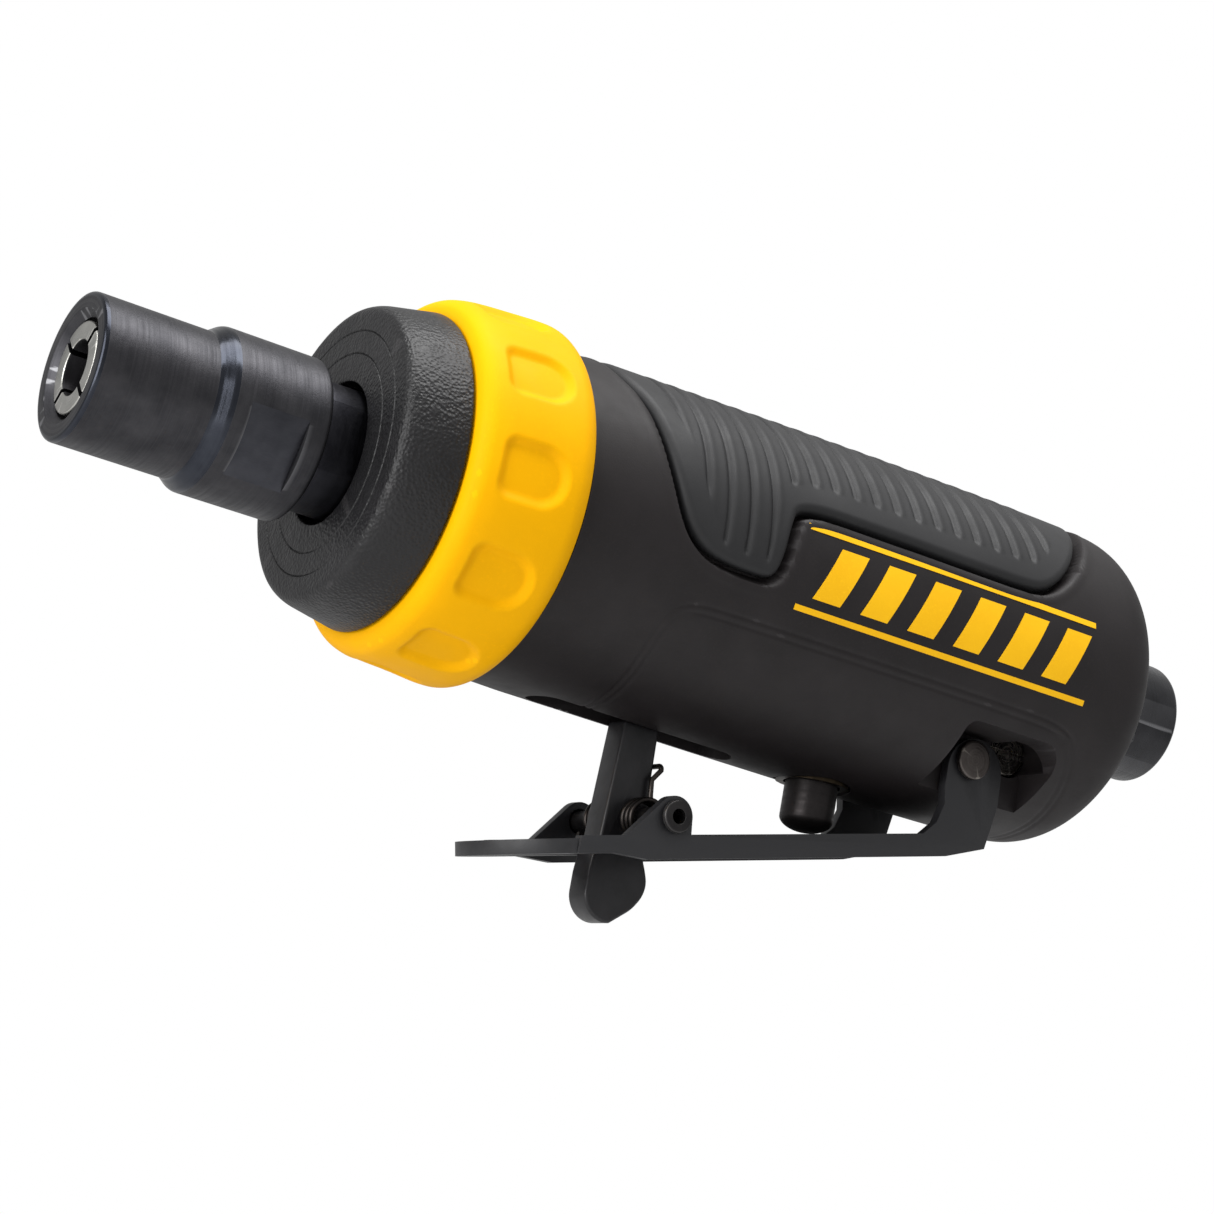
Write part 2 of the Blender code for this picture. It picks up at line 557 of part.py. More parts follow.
def throttle_lever():
    """Pressed sheet paddle: plate with a slot, low flanges, rear ears and latch ears."""
    flange_front = 14.0
    ear_top = (72.7, -17.0)
    side = [(flange_front, lever_height(flange_front)), (19.0, lever_height(19.0)),
            (24.0, lever_height(24.0) - FLANGE_DROP), (70.0, lever_height(70.0) - FLANGE_DROP),
            (LEVER_REAR, lever_height(LEVER_REAR)), (77.4, -20.5)]
    side += arc(ear_top, 4.6, 0, 180, 12)
    side += [(68.1, -19.8), (68.5, -22.2), (67.6, -24.9), (65.7, lever_height(65.7) + FLANGE_HEIGHT),
             (29.7, lever_height(29.7) + FLANGE_HEIGHT), (29.5, LATCH_PIVOT[1])]
    side += arc(LATCH_PIVOT, 2.6, 0, 140, 8)
    side += [(20.4, lever_height(20.4) + FLANGE_HEIGHT), (flange_front, lever_height(flange_front) + FLANGE_HEIGHT)]
    pieces = []
    for low in (-LEVER_HALF_WIDTH, LEVER_HALF_WIDTH - LEVER_SHEET):
        pieces.append(extruded("flange", side, low, low + LEVER_SHEET, "XZ", BLACK_SHEET))

    length = (LEVER_REAR - LEVER_FRONT_CENTRE) / math.cos(LEVER_SLOPE)
    outline = [(length, -LEVER_HALF_WIDTH), (length, LEVER_HALF_WIDTH)]
    outline += arc((0, 0), LEVER_HALF_WIDTH, 90, 270, 20)
    mesh = bpy.data.meshes.new("throttle_lever")
    shape = bmesh.new()
    face = shape.faces.new([shape.verts.new((a * MM, b * MM, 0)) for a, b in outline])
    moved = bmesh.ops.extrude_face_region(shape, geom=[face])["geom"]
    verts = [item for item in moved if isinstance(item, bmesh.types.BMVert)]
    bmesh.ops.translate(shape, verts=verts, vec=(0, 0, LEVER_PLATE * MM))
    bmesh.ops.recalc_face_normals(shape, faces=shape.faces)
    shape.transform(Matrix.Rotation(-LEVER_SLOPE, 4, "Y"))
    shape.transform(Matrix.Translation(place(LEVER_FRONT_CENTRE, 0, lever_height(LEVER_FRONT_CENTRE))))
    shape.to_mesh(mesh)
    shape.free()
    lever = add_object("throttle_lever", mesh, BLACK_SHEET)
    bpy.context.view_layer.update()
    join(lever, pieces)
    slot = arc((SLOT[0] + SLOT_HALF_WIDTH, 0), SLOT_HALF_WIDTH, 270, 90, 8)
    slot += arc((SLOT[1] - SLOT_HALF_WIDTH, 0), SLOT_HALF_WIDTH, 90, -90, 8)
    boolean(lever, extruded("cut_slot", slot, -45, -30, "XY", cutter=True))
    for pivot, radius in ((LEVER_PIVOT, PIN_RADIUS), (LATCH_PIVOT, LATCH_PIN_RADIUS)):
        boolean(lever, rod("cut_ear_holes", "Y", (pivot[0], 0, pivot[1]), -14, 14, radius + GAP))
    return lever


def pins():
    """Headed lever pin and hollow latch rivet."""
    half = LEVER_HALF_WIDTH + GAP
    profile = [(-half - 0.9, 0), (-half - 0.9, 2.3), (-half - 0.5, 2.65), (-half, 2.65), (-half, PIN_RADIUS),
               (half, PIN_RADIUS), (half, 2.3), (half + 0.5, 2.3), (half + 0.8, 1.9), (half + 0.8, 0)]
    turned("lever_pin", profile, BROWN_STEEL, "Y", (LEVER_PIVOT[0], 0, LEVER_PIVOT[1]), SMALL_STEPS)
    profile = [(-half - 0.6, 0.95), (-half - 0.6, 1.8), (-half, 2.1), (-half, LATCH_PIN_RADIUS),
               (half, LATCH_PIN_RADIUS), (half, 2.1), (half + 0.6, 1.8), (half + 0.6, 0.95)]
    turned("latch_pin", profile, BLACK_SHEET, "Y", (LATCH_PIVOT[0], 0, LATCH_PIVOT[1]), SMALL_STEPS)


def lock_off_latch():
    """Thick tongue that props the lever off the body until it is folded."""
    outline = [(23.3, -21.6), (22.6, -36.8), (22.2, -38.4), (21.9, -41.5)]
    outline += arc((25.4, -43.9), 3.5, 180, 285, 8)
    outline += [(29.2, -45.0), (30.5, -43.2), (30.9, -41.4), (30.3, -39.7), (29.6, -38.3), (30.2, -35.8),
                (30.1, -32.0), (28.8, -29.8), (28.6, -21.6)]
    latch = extruded("lock_off_latch", outline, -LATCH_HALF_THICKNESS, LATCH_HALF_THICKNESS, "XZ", BLACK_SHEET)
    hole = rod("cut_latch_hole", "Y", (LATCH_PIVOT[0], 0, LATCH_PIVOT[1]), -5, 5, LATCH_PIN_RADIUS + GAP)
    boolean(latch, hole)

    coil_radius = 2.35
    wire_radius = 0.35
    pitch = 0.95
    per_turn = 8
    steps = 3 * per_turn + 2
    inner_side = LATCH_HALF_THICKNESS + GAP + wire_radius
    x0, z0 = LATCH_PIVOT
    coil = []
    for i in range(steps + 1):
        angle = -2 * math.pi * i / per_turn
        side = inner_side + 0.2 + pitch * i / per_turn
        coil.append((x0 + coil_radius * math.cos(angle), side, z0 + coil_radius * math.sin(angle)))
    foot = (x0 - 2.6, coil[-1][1] + 0.1, z0 - coil_radius)
    bridge_height = -26.2
    bridge_station = 28.8 + GAP + wire_radius
    bridge = [(x0 + coil_radius - 0.8, inner_side + 0.1, z0 + 3.4), (x0 + 1.4, inner_side, z0 + 5.4),
              (bridge_station, inner_side, bridge_height - 0.6),
              (bridge_station, inner_side - 0.6, bridge_height)]
    near = [foot] + coil[::-1] + bridge
    route = near + [(x, -y, z) for x, y, z in near[::-1]]
    wire("latch_spring", route, wire_radius, BROWN_STEEL)


def throttle_valve():
    """Plunger, bush, seal and return spring under the handle."""
    at = (VALVE_STATION, 0, 0)
    profile = [(PLUNGER_TIP, 0), (PLUNGER_TIP + 0.25, 1.5), (PLUNGER_TIP + 0.95, 2.8),
               (PLUNGER_TIP + 1.9, PLUNGER_RADIUS), (-18.0, PLUNGER_RADIUS), (-18.0, 1.5), (-12.7, 1.5),
               (-12.7, 3.3), (-11.4, 3.3), (-11.4, 1.4), (-9.8, 1.4), (-9.8, 0)]
    turned("throttle_plunger", profile, DARK_STEEL, "Z", at, 20)
    profile = [(-22.4, PLUNGER_RADIUS + GAP), (-14.2, PLUNGER_RADIUS + GAP), (-14.2, 2.4), (-13.1, 2.4),
               (-13.1, 5.0), (-22.4, 5.0)]
    bush = turned("valve_bush", profile, BRASS, "Z", at, 20)
    boolean(bush, rod("cut_bush_port", "X", (VALVE_STATION, 0, -16.4), -8, 0, 1.6))
    turned("valve_spring_seat", ring_profile(-3.4, -2.3, 1.0, 4.2), BRASS, "Z", at, SMALL_STEPS)
    coil = []
    turns = 5
    per_turn = 8
    bottom, top = -10.8, -4.1
    for i in range(turns * per_turn + 1):
        angle = 2 * math.pi * i / per_turn
        height = bottom + (top - bottom) * i / (turns * per_turn)
        coil.append((VALVE_STATION + 2.4 * math.cos(angle), 2.4 * math.sin(angle), height))
    wire("valve_spring", coil, 0.35, BRIGHT_STEEL)


def regulator():
    """Speed regulator spool with its O-ring, open at the near pocket."""
    at = (REGULATOR[0], 0, REGULATOR[1])
    groove = 2.1
    profile = [(-9.7, 0), (-9.7, 2.7), (-9.4, REGULATOR_RADIUS), (-7.2, REGULATOR_RADIUS), (-7.2, groove),
               (-5.8, groove), (-5.8, REGULATOR_RADIUS), (6.2, REGULATOR_RADIUS), (6.2, 0)]
    spool = turned("regulator_spool", profile, BROWN_STEEL, "Y", at, 20)
    boolean(spool, block("cut_screwdriver_slot", (75, -10.5, REGULATOR[1] - 0.4), (84, -8.9, REGULATOR[1] + 0.4)))
    boolean(spool, block("cut_throttle_flat", (75, -4, REGULATOR[1] + 0.6), (84, 4, REGULATOR[1] + 5)))
    section = arc((-6.5, 2.7), 0.42, 0, 288, 4)
    turned("regulator_o_ring", section, SEAL, "Y", at, 20)


def air_inlet():
    """Threaded inlet bushing with a hexagon, its washer and screen."""
    washer_rear = DOME_END + GAP + 0.6
    turned("inlet_washer", ring_profile(DOME_END + GAP, washer_rear, 7.6, 10.8), BRIGHT_STEEL, steps=32)
    hex_front = washer_rear + GAP
    hex_rear = hex_front + HEX_LENGTH
    bushing_front = INLET_BORE_START + 1.6
    profile = [(bushing_front, 5.2), (bushing_front, 6.9), (bushing_front + 0.4, 7.3), (hex_front - 0.1, 7.3),
               (hex_front - 0.1, 8.6),
               (INLET_END - 0.9, 8.6), (INLET_END, 7.7), (INLET_END, 6.4), (INLET_END - 8, 5.8),
               (INLET_END - 8, 5.2)]
    bushing = turned("inlet_bushing", profile, DARK_STEEL, steps=32)
    corners = [(9.7 * math.cos(math.radians(60 * i + 30)), 9.7 * math.sin(math.radians(60 * i + 30)))
               for i in range(6)]
    hexagon = extruded("hexagon", corners, hex_front, hex_rear, "YZ", DARK_STEEL)
    hole = rod("cut_hexagon", "X", (0, 0, 0), 90, 115, 8.0, steps=32)
    boolean(hexagon, hole)
    apply_modifiers(hexagon)
    join(bushing, [hexagon])
    screen_ends = (INLET_BORE_START + 0.4, INLET_BORE_START + 1.2)
    screen = rod("inlet_screen", "X", (0, 0, 0), *screen_ends, 6.9, BRASS, cutter=False, steps=24)
    for i in range(6):
        angle = 2 * math.pi * i / 6
        spot = (0, 3.8 * math.sin(angle), 3.8 * math.cos(angle))
        boolean(screen, rod("cut_screen", "X", spot, 80, 100, 1.1, steps=8))


body_housing()
pad_solid("grip_pad", 0, 0, PAD_PROUD, BLACK_RUBBER)
front_pieces()
vane_motor()
ball_bearing("front_bearing", **FRONT_BEARING)
ball_bearing("rear_bearing", **REAR_BEARING)
collet_set()
throttle_lever()
pins()
lock_off_latch()
throttle_valve()
regulator()
air_inlet()
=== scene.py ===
"""Looks of the pneumatic die grinder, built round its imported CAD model.

Lengths are millimetres in the tool's own stations: x runs along its axis from the deflector ring towards the
air inlet, y across and z up, with the axis at y = z = 0. Angles round the body start at the top and open
towards -Y.
"""
import math

import bmesh
import bpy
import numpy as np
from mathutils import Matrix, Vector


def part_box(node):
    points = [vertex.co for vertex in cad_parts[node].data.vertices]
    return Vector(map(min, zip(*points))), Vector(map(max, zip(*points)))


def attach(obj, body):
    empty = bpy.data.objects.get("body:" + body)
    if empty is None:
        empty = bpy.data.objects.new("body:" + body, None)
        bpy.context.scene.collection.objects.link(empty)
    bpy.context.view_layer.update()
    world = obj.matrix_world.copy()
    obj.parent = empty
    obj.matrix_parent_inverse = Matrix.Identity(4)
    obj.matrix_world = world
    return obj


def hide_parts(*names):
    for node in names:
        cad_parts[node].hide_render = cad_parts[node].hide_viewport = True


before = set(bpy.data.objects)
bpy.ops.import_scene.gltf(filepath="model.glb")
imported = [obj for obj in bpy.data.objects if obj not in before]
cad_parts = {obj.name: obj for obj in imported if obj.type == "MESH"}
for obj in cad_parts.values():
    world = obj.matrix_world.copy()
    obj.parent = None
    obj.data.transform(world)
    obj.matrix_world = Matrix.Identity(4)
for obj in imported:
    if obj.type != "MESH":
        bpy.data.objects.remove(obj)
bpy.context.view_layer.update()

MM = 0.001
RING_REAR = 0.4
ring_low, ring_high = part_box("deflector_ring")
ORIGIN = Vector((ring_high.x - RING_REAR * MM, (ring_low.y + ring_high.y) / 2,
                 (ring_low.z + ring_high.z) / 2))
BODY = "housing"

# Body and grip pad
BODY_FRONT = 0.7
NECK_RADIUS = 19.2
NECK_FRONT = -14.0
SPIGOT_RADIUS = 17.6
SPIGOT_FRONT = -19.0
MOTOR_BORE = 16.6
MOTOR_BORE_END = 42.3
DOME_START = 87.0
DOME_END = 97.0
DOME_LENGTH = 11.0
DOME_RADIUS = 22.5
DOME_POWER = 2.5
INLET_BORE = 7.6
INLET_BORE_START = 86.6
BODY_BULGE = [(BODY_FRONT, 21.5), (8, 21.8), (24, 22.1), (38, 22.35), (52, 22.55), (68, 22.65), (80, 22.6)]
PAD_EDGE = [(7.5, 30), (8.2, 38), (9.7, 48), (11, 61), (12.5, 75), (14.5, 88), (16.7, 95), (20, 99),
            (27, 100), (29, 98), (29.8, 90), (30.3, 80), (31.5, 71.5), (45, 71.5), (60, 72), (70, 72),
            (73, 69.5), (76, 63), (79, 53), (81.5, 42), (83.5, 32), (85, 22), (86, 12)]
PAD_PROUD = 0.15
PAD_DEPTH = 1.7
PAD_ROUND = 1.2
VALLEY = (0.25, 1.15)
GROOVE_FIRST = 13.75
GROOVE_PITCH = 3.35
GROOVE_COUNT = 19
GROOVE_DEPTH = 0.42
PANEL_EDGE = [(16.4, 178), (16.3, 158), (15.6, 130), (15.9, 121), (18.2, 114.4), (26, 113.8), (50, 113.6),
              (74, 113.8), (79, 114.8), (82.2, 118.5), (84.2, 128), (85.7, 140), (86.8, 156), (87.0, 178)]
PANEL_STEP = 1.05

# Throttle
LEVER_PIVOT = (71.6, -15.5)
LEVER_AXIS = (LEVER_PIVOT[0], 0, LEVER_PIVOT[1])
LATCH_PIVOT = (26.9, -33.7)
LATCH_AXIS = (LATCH_PIVOT[0], 0, LATCH_PIVOT[1])
LEVER_SLOPE = math.radians(13.27)
LEVER_HALF_WIDTH = 11.8
LEVER_SHEET = 1.4
LEVER_PLATE = 1.8
FLANGE_DROP = 0.9
VALVE_STATION = 55.1
PLUNGER_RADIUS = 3.6
PLUNGER_TIP = -28.9
REGULATOR = (79.5, -12.6)
REGULATOR_AXIS = (REGULATOR[0], 0, REGULATOR[1])
PIN_HOLE = 1.9
RIVET_HOLE = 1.7

# Nose, nut and inlet
RING_FRONT = -15.6
RING_BORE = 19.5
CHAMBER_RADIUS = 21.2
NUT_FACE = -58.1
COLLET_FACE = -57.6
FLATS_ANGLE = 117
INLET_END = 110.4
HEX_LENGTH = 4.6
HEX_CORNER = 9.7


def place(x, y, z):
    """Row-frame position of a point given in the tool's millimetres."""
    return ORIGIN + Vector((x, y, z)) * MM


# ---------------------------------------------------------------- materials

def new_material(name):
    """A material with its node tree's helpers."""
    material = bpy.data.materials.new(name)
    material.use_nodes = True
    tree = material.node_tree
    shader = tree.nodes["Principled BSDF"]
    return material, tree, shader


def tool_coordinates(tree):
    """Coordinates from the tool's axis, in metres."""
    source = tree.nodes.new("ShaderNodeTexCoord")
    shift = tree.nodes.new("ShaderNodeMapping")
    shift.inputs["Location"].default_value = -ORIGIN
    tree.links.new(source.outputs["Object"], shift.inputs["Vector"])
    return shift.outputs["Vector"]


def turned_coordinates(tree, axis="X", at=(0, 0, 0)):
    """Coordinates that stay the same round an axis, so that a texture shows as turning marks."""
    source = tree.nodes.new("ShaderNodeTexCoord")
    shift = tree.nodes.new("ShaderNodeMapping")
    shift.inputs["Location"].default_value = -place(*at)
    tree.links.new(source.outputs["Object"], shift.inputs["Vector"])
    parts = tree.nodes.new("ShaderNodeSeparateXYZ")
    tree.links.new(shift.outputs["Vector"], parts.inputs["Vector"])
    across = [name for name in "XYZ" if name != axis]
    flat = tree.nodes.new("ShaderNodeCombineXYZ")
    for name in across:
        tree.links.new(parts.outputs[name], flat.inputs[name])
    length = tree.nodes.new("ShaderNodeVectorMath")
    length.operation = "LENGTH"
    tree.links.new(flat.outputs["Vector"], length.inputs[0])
    joined = tree.nodes.new("ShaderNodeCombineXYZ")
    tree.links.new(parts.outputs[axis], joined.inputs["X"])
    tree.links.new(length.outputs["Value"], joined.inputs["Y"])
    return joined.outputs["Vector"]


def noise(tree, vector, size, detail=3.0, roughness=0.55):
    """Noise whose blotches are about size millimetres wide."""
    texture = tree.nodes.new("ShaderNodeTexNoise")
    texture.inputs["Scale"].default_value = 1 / (size * MM)
    texture.inputs["Detail"].default_value = detail
    texture.inputs["Roughness"].default_value = roughness
    tree.links.new(vector, texture.inputs["Vector"])
    return texture.outputs["Fac"]


def cells(tree, vector, size):
    """Smooth cells about size millimetres wide, for leather-like grain."""
    texture = tree.nodes.new("ShaderNodeTexVoronoi")
    texture.feature = "SMOOTH_F1"
    texture.inputs["Scale"].default_value = 1 / (size * MM)
    texture.inputs["Smoothness"].default_value = 0.6
    tree.links.new(vector, texture.inputs["Vector"])
    return texture.outputs["Distance"]


def spread(tree, factor, low, high, start=0.3, end=0.7):
    """Map a texture's middle range onto low to high."""
    step = tree.nodes.new("ShaderNodeMapRange")
    step.inputs["From Min"].default_value = start
    step.inputs["From Max"].default_value = end
    step.inputs["To Min"].default_value = low
    step.inputs["To Max"].default_value = high
    tree.links.new(factor, step.inputs["Value"])
    return step.outputs["Result"]


def blend_colours(tree, factor, first, second):
    """A mix of two colours by a factor; each colour is a tuple or another node's socket."""
    mix = tree.nodes.new("ShaderNodeMix")
    mix.data_type = "RGBA"
    for socket, value in ((mix.inputs[6], first), (mix.inputs[7], second)):
        if isinstance(value, tuple):
            socket.default_value = (*value, 1)
        else:
            tree.links.new(value, socket)
    tree.links.new(factor, mix.inputs[0])
    return mix.outputs[2]


def add_bump(tree, height, distance, base=None):
    """A bump step; distance is its height in millimetres."""
    bump = tree.nodes.new("ShaderNodeBump")
    bump.inputs["Strength"].default_value = 1.0
    bump.inputs["Distance"].default_value = distance * MM
    tree.links.new(height, bump.inputs["Height"])
    if base is not None:
        tree.links.new(base, bump.inputs["Normal"])
    return bump.outputs["Normal"]


def edge_wear(tree, start=0.53, end=0.60):
    """One on worn outer edges and nought elsewhere."""
    geometry = tree.nodes.new("ShaderNodeNewGeometry")
    return spread(tree, geometry.outputs["Pointiness"], 0.0, 1.0, start, end)


def plastic(name, dark, light, rough, grain, depth, cell=None, cell_depth=0.0, worn=None, specular=0.5):
    """Moulded plastic or rubber: mottled colour, uneven sheen and a fine moulded grain."""
    material, tree, shader = new_material(name)
    vector = tool_coordinates(tree)
    colour = blend_colours(tree, spread(tree, noise(tree, vector, 9.0), 0, 1), dark, light)
    grit = spread(tree, noise(tree, vector, grain * 1.5, 1.0), 0, 1, 0.55, 0.8)
    speck = blend_colours(tree, grit, colour, light)
    if worn:
        speck = blend_colours(tree, edge_wear(tree), speck, worn)
    tree.links.new(speck, shader.inputs["Base Color"])
    tree.links.new(spread(tree, noise(tree, vector, 4.0), *rough), shader.inputs["Roughness"])
    normal = add_bump(tree, noise(tree, vector, grain, 2.0), depth)
    if cell:
        normal = add_bump(tree, cells(tree, vector, cell), cell_depth, base=normal)
    tree.links.new(normal, shader.inputs["Normal"])
    shader.inputs["Specular IOR Level"].default_value = specular
    return material


def turned_steel(name, dark, light, rough, pitch, depth, axis="X", at=(0, 0, 0), worn=None, metallic=1.0):
    """Machined steel with turning marks round an axis, faint blotches and bright edges."""
    material, tree, shader = new_material(name)
    marks = turned_coordinates(tree, axis, at)
    free = tool_coordinates(tree)
    lines = noise(tree, marks, pitch, 4.0, 0.7)
    blotch = noise(tree, free, 3.5, 4.0)
    colour = blend_colours(tree, spread(tree, blotch, 0, 1), dark, light)
    colour = blend_colours(tree, spread(tree, lines, 0, 0.6, 0.45, 0.75), colour, light)
    if worn:
        colour = blend_colours(tree, edge_wear(tree), colour, worn)
    tree.links.new(colour, shader.inputs["Base Color"])
    tree.links.new(spread(tree, noise(tree, marks, pitch * 2.5, 2.0), *rough), shader.inputs["Roughness"])
    normal = add_bump(tree, lines, depth)
    normal = add_bump(tree, noise(tree, free, 0.35, 2.0), depth * 0.6, base=normal)
    tree.links.new(normal, shader.inputs["Normal"])
    shader.inputs["Metallic"].default_value = metallic
    return material


def milled_steel(name, dark, light, rough, pitch, depth, direction, worn=None, metallic=1.0):
    """Steel with straight tool marks; direction scales each axis, small along the marks."""
    material, tree, shader = new_material(name)
    free = tool_coordinates(tree)
    stretch = tree.nodes.new("ShaderNodeMapping")
    stretch.inputs["Scale"].default_value = direction
    tree.links.new(free, stretch.inputs["Vector"])
    lines = noise(tree, stretch.outputs["Vector"], pitch, 3.0, 0.6)
    colour = blend_colours(tree, spread(tree, noise(tree, free, 4.0), 0, 1), dark, light)
    colour = blend_colours(tree, spread(tree, lines, 0, 0.5, 0.5, 0.8), colour, light)
    if worn:
        colour = blend_colours(tree, edge_wear(tree), colour, worn)
    tree.links.new(colour, shader.inputs["Base Color"])
    tree.links.new(spread(tree, noise(tree, free, 1.5), *rough), shader.inputs["Roughness"])
    normal = add_bump(tree, lines, depth)
    tree.links.new(normal, shader.inputs["Normal"])
    shader.inputs["Metallic"].default_value = metallic
    return material


BLACK_BODY = plastic("moulded_black", (0.0092, 0.0074, 0.0078), (0.0138, 0.0112, 0.0118), (0.50, 0.60),
                     0.22, 0.014, worn=(0.024, 0.021, 0.022), specular=0.28)
BLACK_PAD = plastic("grip_rubber", (0.0105, 0.0105, 0.0115), (0.015, 0.015, 0.016), (0.52, 0.62),
                    0.2, 0.012, specular=0.36)
GRAINED = plastic("grained_black", (0.006, 0.006, 0.0065), (0.011, 0.0105, 0.0115), (0.36, 0.48),
                  0.18, 0.02, cell=0.42, cell_depth=0.12, worn=(0.020, 0.019, 0.020), specular=0.34)
YELLOW = plastic("ring_yellow", (0.80, 0.385, 0.0), (0.86, 0.415, 0.0), (0.50, 0.60),
                 0.3, 0.006, worn=(0.90, 0.45, 0.0), specular=0.06)
PRINT = plastic("yellow_print", (0.90, 0.47, 0.0), (0.95, 0.52, 0.002), (0.5, 0.6),
                0.25, 0.006, specular=0.25)
NUT_STEEL = turned_steel("gunmetal", (0.034, 0.034, 0.038), (0.062, 0.061, 0.066), (0.36, 0.52),
                         0.16, 0.016, worn=(0.20, 0.20, 0.21))
POLISHED_BAND = turned_steel("polished_band", (0.026, 0.028, 0.036), (0.045, 0.049, 0.060), (0.16, 0.28),
                             0.25, 0.006)
FLAT_STEEL = milled_steel("milled_flat", (0.040, 0.041, 0.048), (0.062, 0.063, 0.072), (0.38, 0.5),
                          0.1, 0.01, (0.12, 1, 1), worn=(0.2, 0.2, 0.21))
# Painted shade: near-black steel for the inside of the collet's bore and the walls of its slits.
BORE_PAINTED_SHADE = turned_steel("painted_shade_bore", (0.010, 0.010, 0.011), (0.022, 0.021, 0.023), (0.4, 0.55),
                          0.2, 0.01)
# Painted shade: dark brown steel in place of the valve bush's brass, so the bush reads as the shaded valve
# hole.
BUSH_PAINTED_SHADE = turned_steel("painted_shade_bush", (0.020, 0.015, 0.010), (0.045, 0.034, 0.022), (0.35, 0.5),
                          0.25, 0.01)
COLLET_STEEL = turned_steel("collet_steel", (0.34, 0.34, 0.32), (0.50, 0.49, 0.46), (0.24, 0.4),
                            0.2, 0.01, worn=(0.7, 0.69, 0.65))
HOLDER_STEEL = turned_steel("holder_steel", (0.018, 0.018, 0.022), (0.036, 0.036, 0.042), (0.32, 0.5),
                            0.14, 0.012, worn=(0.10, 0.10, 0.11))
BLACK_SHEET = milled_steel("black_oxide_sheet", (0.008, 0.008, 0.009), (0.015, 0.015, 0.017), (0.40, 0.52),
                           0.3, 0.006, (1, 0.4, 1), worn=(0.016, 0.016, 0.018), metallic=0.1)
LATCH_STEEL = milled_steel("black_oxide_latch", (0.010, 0.010, 0.011), (0.020, 0.019, 0.021), (0.28, 0.42),
                           0.35, 0.008, (1, 1, 0.4), worn=(0.022, 0.022, 0.024), metallic=0.3)
PIN_STEEL = turned_steel("pin_steel", (0.055, 0.047, 0.044), (0.11, 0.098, 0.092), (0.3, 0.5),
                         0.3, 0.03, "Y", LEVER_AXIS, worn=(0.22, 0.20, 0.18))
RIVET_STEEL = turned_steel("rivet_steel", (0.015, 0.014, 0.015), (0.035, 0.033, 0.033), (0.25, 0.4),
                           0.3, 0.01, "Y", LATCH_AXIS, worn=(0.22, 0.21, 0.21), metallic=0.8)
SPOOL_STEEL = turned_steel("spool_steel", (0.16, 0.145, 0.13), (0.30, 0.28, 0.25), (0.2, 0.35),
                           0.25, 0.01, "Y", REGULATOR_AXIS, worn=(0.8, 0.76, 0.7))
PLUNGER_STEEL = turned_steel("plunger_steel", (0.016, 0.014, 0.014), (0.034, 0.030, 0.030), (0.30, 0.5),
                             0.3, 0.02, "Z", (VALVE_STATION, 0, 0), worn=(0.16, 0.15, 0.15), metallic=0.8)
SPRING_STEEL = turned_steel("spring_steel", (0.022, 0.019, 0.018), (0.055, 0.048, 0.044), (0.25, 0.4),
                            0.3, 0.005, "Y", LATCH_AXIS, metallic=0.9)
INLET_STEEL = turned_steel("inlet_steel", (0.014, 0.014, 0.016), (0.030, 0.030, 0.034), (0.22, 0.38),
                           0.2, 0.01, worn=(0.18, 0.18, 0.19), metallic=0.6)
GROUND_STEEL = turned_steel("ground_steel", (0.45, 0.44, 0.43), (0.62, 0.61, 0.59), (0.22, 0.38),
                            0.2, 0.008, worn=(0.8, 0.8, 0.78))
BEARING_STEEL = turned_steel("bearing_steel", (0.55, 0.55, 0.56), (0.68, 0.68, 0.69), (0.12, 0.22),
                             0.25, 0.004, worn=(0.85, 0.85, 0.85))
IRON = turned_steel("end_plate_iron", (0.20, 0.20, 0.21), (0.34, 0.34, 0.35), (0.4, 0.6), 0.3, 0.02)
BRASS = turned_steel("brass", (0.55, 0.36, 0.13), (0.76, 0.53, 0.23), (0.25, 0.42),
                     0.25, 0.01, worn=(0.9, 0.7, 0.4))
FELT = plastic("pressed_felt", (0.24, 0.23, 0.21), (0.42, 0.40, 0.37), (0.9, 1.0), 0.35, 0.2)
SEAL = plastic("seal_rubber", (0.012, 0.012, 0.012), (0.024, 0.024, 0.024), (0.5, 0.68), 0.4, 0.02)
RESIN = plastic("vane_resin", (0.14, 0.075, 0.03), (0.26, 0.15, 0.07), (0.5, 0.68), 0.6, 0.03)


# ---------------------------------------------------------------- mesh helpers

def rounded(points, steps=5, closed=False):
    """A path with rounded corners: a point's third value, if any, is the length taken off each side."""
    path = []
    count = len(points)
    for i, point in enumerate(points):
        here = Vector(point[:2])
        size = point[2] if len(point) > 2 else 0
        if size == 0 or (not closed and i in (0, count - 1)):
            path.append(tuple(here))
            continue
        before = Vector(points[i - 1][:2])
        after = Vector(points[(i + 1) % count][:2])
        start = here + (before - here).normalized() * min(size, (before - here).length * 0.49)
        end = here + (after - here).normalized() * min(size, (after - here).length * 0.49)
        for k in range(steps + 1):
            t = k / steps
            path.append(tuple(start * (1 - t) ** 2 + here * 2 * t * (1 - t) + end * t ** 2))
    return path


def arc(centre, radius, start, end, steps):
    """Points on an arc, angles in degrees."""
    points = []
    for i in range(steps + 1):
        angle = math.radians(start + (end - start) * i / steps)
        points.append((centre[0] + radius * math.cos(angle), centre[1] + radius * math.sin(angle)))
    return points


def smoothed(points, rounds=3):
    """Corner cutting that keeps the ends."""
    for _ in range(rounds):
        cut = [points[0]]
        for a, b in zip(points, points[1:]):
            cut.append((a[0] * 0.75 + b[0] * 0.25, a[1] * 0.75 + b[1] * 0.25))
            cut.append((a[0] * 0.25 + b[0] * 0.75, a[1] * 0.25 + b[1] * 0.75))
        points = cut + [points[-1]]
    return points


